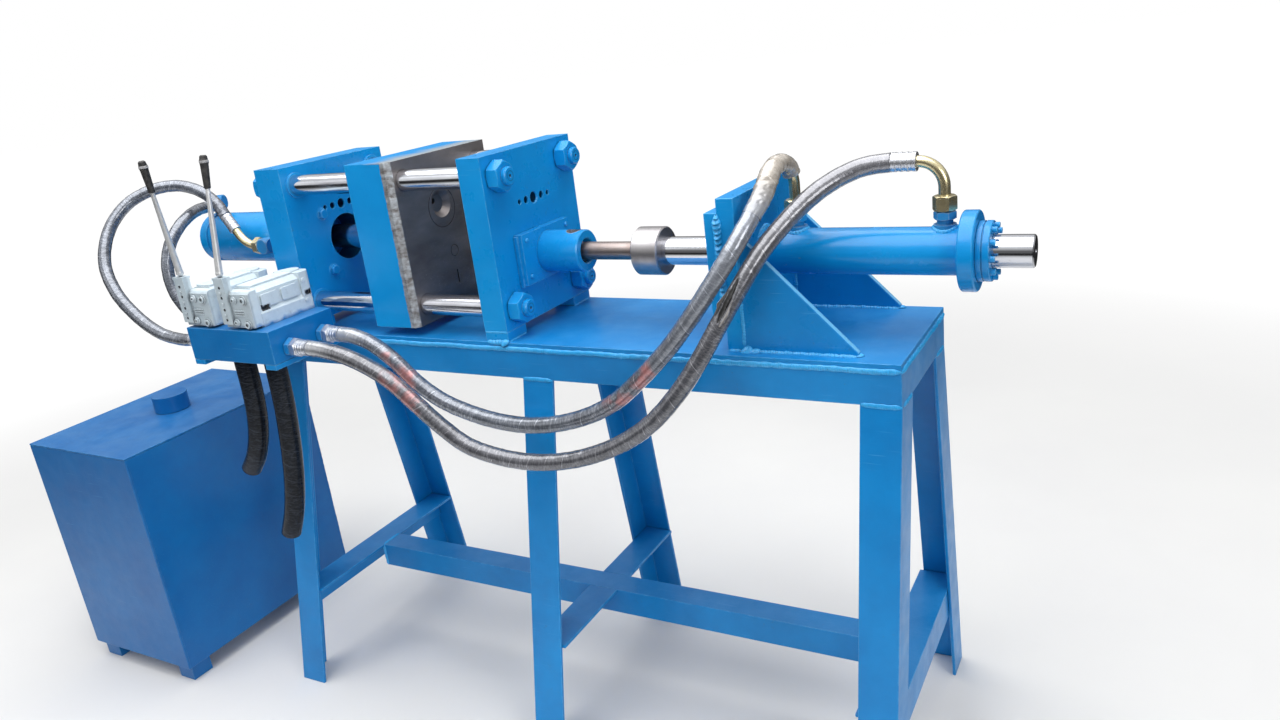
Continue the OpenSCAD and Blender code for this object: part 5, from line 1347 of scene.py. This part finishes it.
# %% Painted bolts
GLAND_SCREWS, GLAND_CIRCLE = 10, 0.0385
CLAMP_BOLTS, CLAMP_CIRCLE = 4, 0.0835
screws = Pile()
for y, z in ((0.0820, 0.970), (0.2150, 0.971), (0.0820, 0.9025), (0.2150, 0.9025)):
    screws.add(lathe_grid(round_head(0.0085, 0.0042), (-0.6941, y, z), RIGHT))
gland_x = box_of("rear_gland")[1][0]
for k in range(GLAND_SCREWS):
    t = math.radians(4 + 36 * k)
    spot = (gland_x - 0.0003, shot_y + GLAND_CIRCLE * math.cos(t), shot_z + GLAND_CIRCLE * math.sin(t))
    screws.add(lathe_grid(socket_head(0.0092, 0.0080, 0.0045), spot, RIGHT, turn=0.4 * k))
for k in range(CLAMP_BOLTS):
    t = math.radians(45 + 90 * k)
    spot = (-1.2023, shot_y + CLAMP_CIRCLE * math.cos(t), clamp_z + CLAMP_CIRCLE * math.sin(t))
    screws.add(lathe_grid(round_head(0.0270, 0.0016), spot, RIGHT))
    screws.add(lathe_grid(hex_head(0.0185, 0.0085), spot, RIGHT, turn=0.3 + k))
screws.piece("painted_screws", platen_blue, smooth=False)

# %% [markdown]
# The front of each lever valve is a cover on socket screws: two large ones in deep rings, and two lugs
# with smaller ones. More small screws run down the lever's column, between its holes.

# %% Screws and ribs of the valves
def valve_dressing(low_x, front_y, foot_z):
    """Screw heads, rings and ribs of one valve, from the corner of its body's box."""
    pile = Pile()
    cover_y = front_y + 0.006
    for x, z, d, h in ((0.064, 0.057, 0.0135, 0.0055), (0.064, 0.0105, 0.0135, 0.0055)):
        ring_rows = ((0.68, -0.0005), (0.68, 0.0016), (0.60, 0.0022), (0.52, 0.0010), (0.50, -0.0004))
        ring = [(d * share, height, False) for share, height in ring_rows]
        spot = (low_x + x, cover_y, foot_z + z)
        pile.add(lathe_grid(ring, spot, FRONT), caps=False)
        pile.add(lathe_grid(socket_head(d, h, 0.0065), spot, FRONT, turn=x))
    for x, z, d, h in ((0.040, 0.0575, 0.0088, 0.0062), (0.0355, 0.0145, 0.0088, 0.0062)):
        lug_rows = ((0.0072, -0.0005), (0.0072, 0.0024), (0.0064, 0.0032), (0.0002, 0.0033))
        lug = [(radius, height, False) for radius, height in lug_rows]
        spot = (low_x + x, cover_y, foot_z + z)
        pile.add(lathe_grid(lug, spot, FRONT))
        pile.add(lathe_grid(socket_head(d, h, 0.0042), spot, FRONT, turn=z))
    for z in (0.0290, 0.0505, 0.0715):
        pile.add(lathe_grid(round_head(0.0056, 0.0022), (low_x + 0.014, front_y, foot_z + z), FRONT))
    for z in (0.0265, 0.0310, 0.0355):
        bar = ((0.034, z, -1, -1), (0.058, z, 1, -1), (0.058, z + 0.0020, 1, 1), (0.034, z + 0.0020, -1, 1))
        face = [(low_x + x, cover_y - 0.0016, foot_z + h) for x, h, _, _ in bar]
        root = [(low_x + x + 0.001 * s, cover_y + 0.001, foot_z + h + 0.001 * t) for x, h, s, t in bar]
        pile.add(place(np.array([root, face]))[:, ::-1])
    rear_rows = ((0.0045, -0.0004), (0.0045, 0.0016), (0.0032, 0.0022), (0.0002, 0.0022))
    rear = [(radius, height, False) for radius, height in rear_rows]
    for z in (0.020, 0.060):
        pile.add(lathe_grid(rear, (low_x + 0.0760, front_y + 0.141, foot_z + z), RIGHT))
    return pile


for name in VALVES:
    pile = valve_dressing(*box_of(name)[0])
    pile.piece(f"{name}_screws", valve_cast[name], slot="valve_casting", smooth=False)

# %% [markdown]
# The film of the front shot hose runs on over its crimped end and round the bent tube, where it hangs
# loose and looks like cream coloured paper. Where the rear hose rubbed on the bracket its film is torn:
# two ragged flaps stand off the edges of the slit.

# %% Loose film
FRONT_PORT = np.array([-0.200, 0.1475])
BEND_RADIUS, BEND_START_Z, BEND_WAY = 0.040, 1.0448, math.radians(258)


def bend_point(angle):
    """A point of the front bent tube: port + way R (1 - cos angle) + up R sin angle."""
    out = BEND_RADIUS * (1 - math.cos(angle))
    return (
        FRONT_PORT[0] + out * math.cos(BEND_WAY),
        FRONT_PORT[1] + out * math.sin(BEND_WAY),
        BEND_START_Z + BEND_RADIUS * math.sin(angle),
    )


def film_over_bend(seed):
    """A loose tube round the hose's crimped end and the bend: radius = base + folds of a few seeded sines."""
    rng = np.random.default_rng(seed)
    hose = ROUTES["front_shot_hose"]
    line = [hose[-2], hose[-1]] + [bend_point(math.radians(t)) for t in (137, 115, 92, 70, 48, 30)]
    path = smooth_path(place(line), 0.0016)
    along = path_frames(path)[0][:, None] / 0.001
    a = np.linspace(0, 2 * np.pi, AROUND, endpoint=False)[None, :]
    share = along / along[-1]
    radius = 0.0153 + 0.0014 * np.clip(share / 0.30, 0, 1) - 0.0022 * np.clip((share - 0.45) / 0.3, 0, 1)
    for _ in range(7):
        turns, pitch = rng.integers(1, 6), rng.uniform(9, 26)
        radius = radius + 0.00015 * np.sin(2 * np.pi * along / pitch + turns * a + rng.uniform(0, 6.28))
    radius = radius + 0.0016 * np.clip((share - 0.93) / 0.07, 0, 1) * np.sin(3 * a + 1)
    points = tube_points(path, radius, AROUND)
    piece = new_piece("film_over_bend", points.reshape(-1, 3), grid_faces(len(path), AROUND, caps=False))
    add_uv(piece, len(path), AROUND, along[:, 0] * 0.001, np.pi * 0.032)
    return piece


def film_flap(name, start, end, out, reach, seed):
    """A torn triangle of film: from an edge on the hose it curls outwards, widest at its middle.

    Point = edge(u) + v reach(u) (out cos c + lift sin c), with the curl c growing with v and a ragged
    reach."""
    rng = np.random.default_rng(seed)
    u = np.linspace(0, 1, 14)
    v = np.linspace(0, 1, 6)[None, :]
    span = np.array(end) - np.array(start)
    edge = np.array(start) + u[:, None] * span
    along = span / np.linalg.norm(span)
    out = np.array(out, float) / np.linalg.norm(out)
    lift = np.cross(along, out)
    width = reach * np.clip(1 - abs(2 * u - 0.8) ** 1.5, 0.06, 1) * (1 + 0.25 * rng.uniform(-1, 1, len(u)))
    curl = 0.9 * v
    step = width[:, None] * v
    grid = edge[:, None] + (step * np.cos(curl))[..., None] * out + (step * np.sin(curl))[..., None] * lift
    piece = new_piece(name, place(grid).reshape(-1, 3), grid_faces(14, 6, closed=False))
    solid = piece.modifiers.new("thickness", "SOLIDIFY")
    solid.thickness = 0.0003
    return piece


print("loose film can be made")

# %% [markdown]
# The flaps start on the two lips of the slit in the rear hose's film. Their ends are found on the hose's
# own path: from the middle of its facing side each lip lies half a radian round the hose, one on each
# side.

# %% Film over the bend and torn flaps
loose = [film_over_bend(5)]
middle, half, facing = TORN["rear_shot_hose"]
torn_path = smooth_path(ROUTES["rear_shot_hose"], 0.0032)
torn_along, torn_tangent, _, _ = path_frames(torn_path)
facing = np.array(facing)
for number, (shift, turn, reach) in enumerate(((0.000, 0.52, 0.0100), (-0.014, -0.50, 0.0055))):
    ends = []
    for s in (middle + shift - 0.7 * half, middle + shift + 0.5 * half):
        row = np.argmin(abs(torn_along - s))
        t = torn_tangent[row]
        out = facing - t * facing.dot(t)
        out /= np.linalg.norm(out)
        across = np.cross(out, t)
        ends.append(torn_path[row] + 0.0148 * (math.cos(turn) * out + math.sin(turn) * across))
    lean = math.copysign(1, turn) * across * 0.8 + out * 0.6
    loose.append(film_flap(f"film_flap_{number}", ends[0], ends[1], lean, reach, number))
for piece in loose:
    piece.data.materials.append(cream_film if piece.name == "film_over_bend" else torn_film)
    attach(piece, "machine")
print(f"{len(loose)} pieces of loose film")

# %% [markdown]
# ## Dressing the solid pieces
#
# A solid from CAD has perfectly sharp edges, and no real one does. A Weld modifier joins its loose
# triangles and a Decimate joins those of one flat face. Then a Bevel rounds each true edge by a fraction
# of a millimetre so it catches the light, and weighted normals keep the large faces flat. The mesh itself
# stays as it is. Pieces that are turned or bent are already smooth and need only their finish.

# %% Finishes and edges of the solid pieces
LEGS = [f"{side}_{end}_leg" for side in ("front", "back") for end in ("left", "middle", "right")]
DRESS = {
    frame_blue: {
        0.0012: LEGS + ["left_cross_bar", "middle_cross_bars", "right_cross_bar", "lower_rail"],
        0.0010: ["table_top", "long_rails", "end_rails", "block_shelf"],
    },
    platen_blue: {
        0.0016: ["packing_blocks", "bracket_plate"],
        0.0012: ["sleeve_plates", "cylinder_front_flange"],
        0.0006: ["tie_bar_nuts"],
    },
    gusset_blue: {0.0016: ["bracket_gussets"]},
    shot_plate_blue: {0.0016: ["shot_platen"]},
    clamp_plate_blue: {0.0016: ["clamp_platen"]},
    sleeve_blue: {0.0006: ["shot_sleeve"]},
    barrel_blue: {0.0006: ["clamp_cylinder", "shot_cylinder", "rear_flange", "rear_gland"]},
    moving_blue: {0.0014: ["moving_platen"]},
    shaded_block_blue: {0.0012: ["valve_block"]},
    fitting_blue: {0.0006: ["port_fittings", "block_fittings"]},
    shaded_tank_blue: {0.0020: ["oil_tank"], 0.0008: ["tank_lid", "tank_feet", "tank_filler"]},
    bar_chrome: {0.0: ["tie_bars"]},
    rod_chrome: {0.0: ["clamp_ram", "shot_rod"]},
    rod_steel: {0.0: ["plunger_rod"]},
    coupling_steel: {0.0: ["rod_coupling"]},
    yellow_zinc: {0.0: ["bent_tubes"]},
    bright_zinc: {0.0: ["hose_crimps"]},
    valve_cast["right_valve"]: {0.0022: ["right_valve"]},
    valve_cast["left_valve"]: {0.0022: ["left_valve"]},
    lever_steel["right_lever"]: {0.0: ["right_lever"]},
    lever_steel["left_lever"]: {0.0: ["left_lever"]},
}


def round_edges(piece, width):
    """Weld joins points closer than 0.01 mm, and Bevel cuts each edge that turns by more than 35 degrees."""
    weld = piece.modifiers.new("weld", "WELD")
    weld.merge_threshold = 0.00001
    planar = piece.modifiers.new("planar", "DECIMATE")
    planar.decimate_type = "DISSOLVE"
    planar.angle_limit = math.radians(0.5)
    bevel = piece.modifiers.new("bevel", "BEVEL")
    bevel.width = width
    bevel.segments = 2
    bevel.limit_method = "ANGLE"
    bevel.angle_limit = math.radians(35)
    flat = piece.modifiers.new("flat", "WEIGHTED_NORMAL")
    flat.mode = "FACE_AREA"
    flat.weight = 100


for finish, widths in DRESS.items():
    for width, names in widths.items():
        for name in names:
            nodes[name].data.materials.clear()
            nodes[name].data.materials.append(finish)
            if width:
                round_edges(nodes[name], width)
for name, piece in hoses.items():
    piece.data.materials.append(hose_film[name])
print(f"{sum(len(n) for w in DRESS.values() for n in w.values())} pieces dressed")

# %% [markdown]
# ## Floor, light and world
#
# The floor is one plain pale plane. It keeps the machine's shadow, and further out it turns to plain white
# for the camera alone, so that no horizon shows and no extra light falls on the machine.

# %% Floor
FLOOR_HALF = 30.0
FADE_FROM, FADE_TO = 1.5, 3.4
floor_corners = [(x * FLOOR_HALF, y * FLOOR_HALF, 0) for x, y in ((-1, -1), (1, -1), (1, 1), (-1, 1))]
floor = new_piece("floor", floor_corners, [[0, 1, 2, 3]], smooth=False)
floor_finish = Finish("pale_floor", Roughness=0.8, Specular_IOR_Level=0.2)
clouds = floor_finish.ramp(floor_finish.noise(floor_finish.here, 1.3, 5.0), 0.3, 0.7)
pale = floor_finish.mixed(clouds, (0.76, 0.76, 0.76, 1.0), (0.81, 0.81, 0.80, 1.0))
away = floor_finish.add("VectorMath", {0: floor_finish.here}, operation="LENGTH").outputs["Value"]
far = floor_finish.ramp(away, FADE_FROM, FADE_TO)
floor_finish.set("Base Color", floor_finish.mixed(far, pale, (0.0, 0.0, 0.0, 1.0)))
floor_finish.shader.inputs["Emission Color"].default_value = (1.0, 1.0, 1.0, 1.0)
seen = floor_finish.add("LightPath").outputs["Is Camera Ray"]
floor_finish.set("Emission Strength", floor_finish.maths("MULTIPLY", far, seen))
floor.data.materials.append(floor_finish.material)
floor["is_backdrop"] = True
print("floor ready")

# %% [markdown]
# A wide soft lamp overhead and two large weak ones at the sides light the machine at a plain level, where
# a colour comes out about as it is written. The world is grey for diffuse light, white behind the machine,
# and shades from grey to white for what chrome reflects.

# %% Lamps and world
LAMPS = {
    "overhead": ((-0.9, -0.2, 3.2), (-0.6, 0.1, 0.8), 3.4, 124.0),
    "front_left": ((-3.6, -3.0, 2.4), (-0.8, 0.1, 0.8), 2.2, 12.0),
    "front_right": ((3.3, -2.2, 2.2), (-0.5, 0.1, 0.8), 1.8, 60.0),
}


def add_lamp(name, spot, target, size, power):
    """A square area lamp at spot, facing target."""
    data = bpy.data.lights.new(name, "AREA")
    data.shape = "SQUARE"
    data.size = size
    data.energy = power
    lamp = bpy.data.objects.new(name, data)
    bpy.context.scene.collection.objects.link(lamp)
    turn = (Vector(target) - Vector(spot)).to_track_quat("-Z", "Y").to_matrix().to_4x4()
    lamp.matrix_world = Matrix.Translation(Vector(place(spot))) @ turn


def make_world(ambient, low, high):
    """Grey for diffuse rays, white for the camera, and low at the horizon to high above for glossy rays."""
    world = bpy.data.worlds.new("world")
    world.use_nodes = True
    g = Graph(world.node_tree)
    rays = g.add("LightPath").outputs
    up = g.add("SeparateXYZ", {0: g.add("TexCoord").outputs["Generated"]}).outputs[2]
    shine = g.ramp(up, 0.22, 0.62, low, high)
    clear = g.maths("MAXIMUM", rays["Is Glossy Ray"], rays["Is Transmission Ray"])
    grey = g.mixed(clear, (ambient, ambient, ambient, 1.0), shine)
    seen = g.mixed(rays["Is Camera Ray"], grey, (1.0, 1.0, 1.0, 1.0))
    link(g, seen, world.node_tree.nodes["Background"].inputs["Color"])
    bpy.context.scene.world = world


for lamp, (spot, target, size, power) in LAMPS.items():
    add_lamp(lamp, spot, target, size, power)
make_world(0.45, 0.14, 0.90)
bpy.context.scene.view_settings.view_transform = "Standard"
print(f"{len(LAMPS)} lamps")

# %% [markdown]
# Last, the box of the solid model and the box of the dressed one are put side by side in one dictionary.

# %% Sizes
size = {"cad": [list(v) for v in cad_box], "visual": [list(v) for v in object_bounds()]}
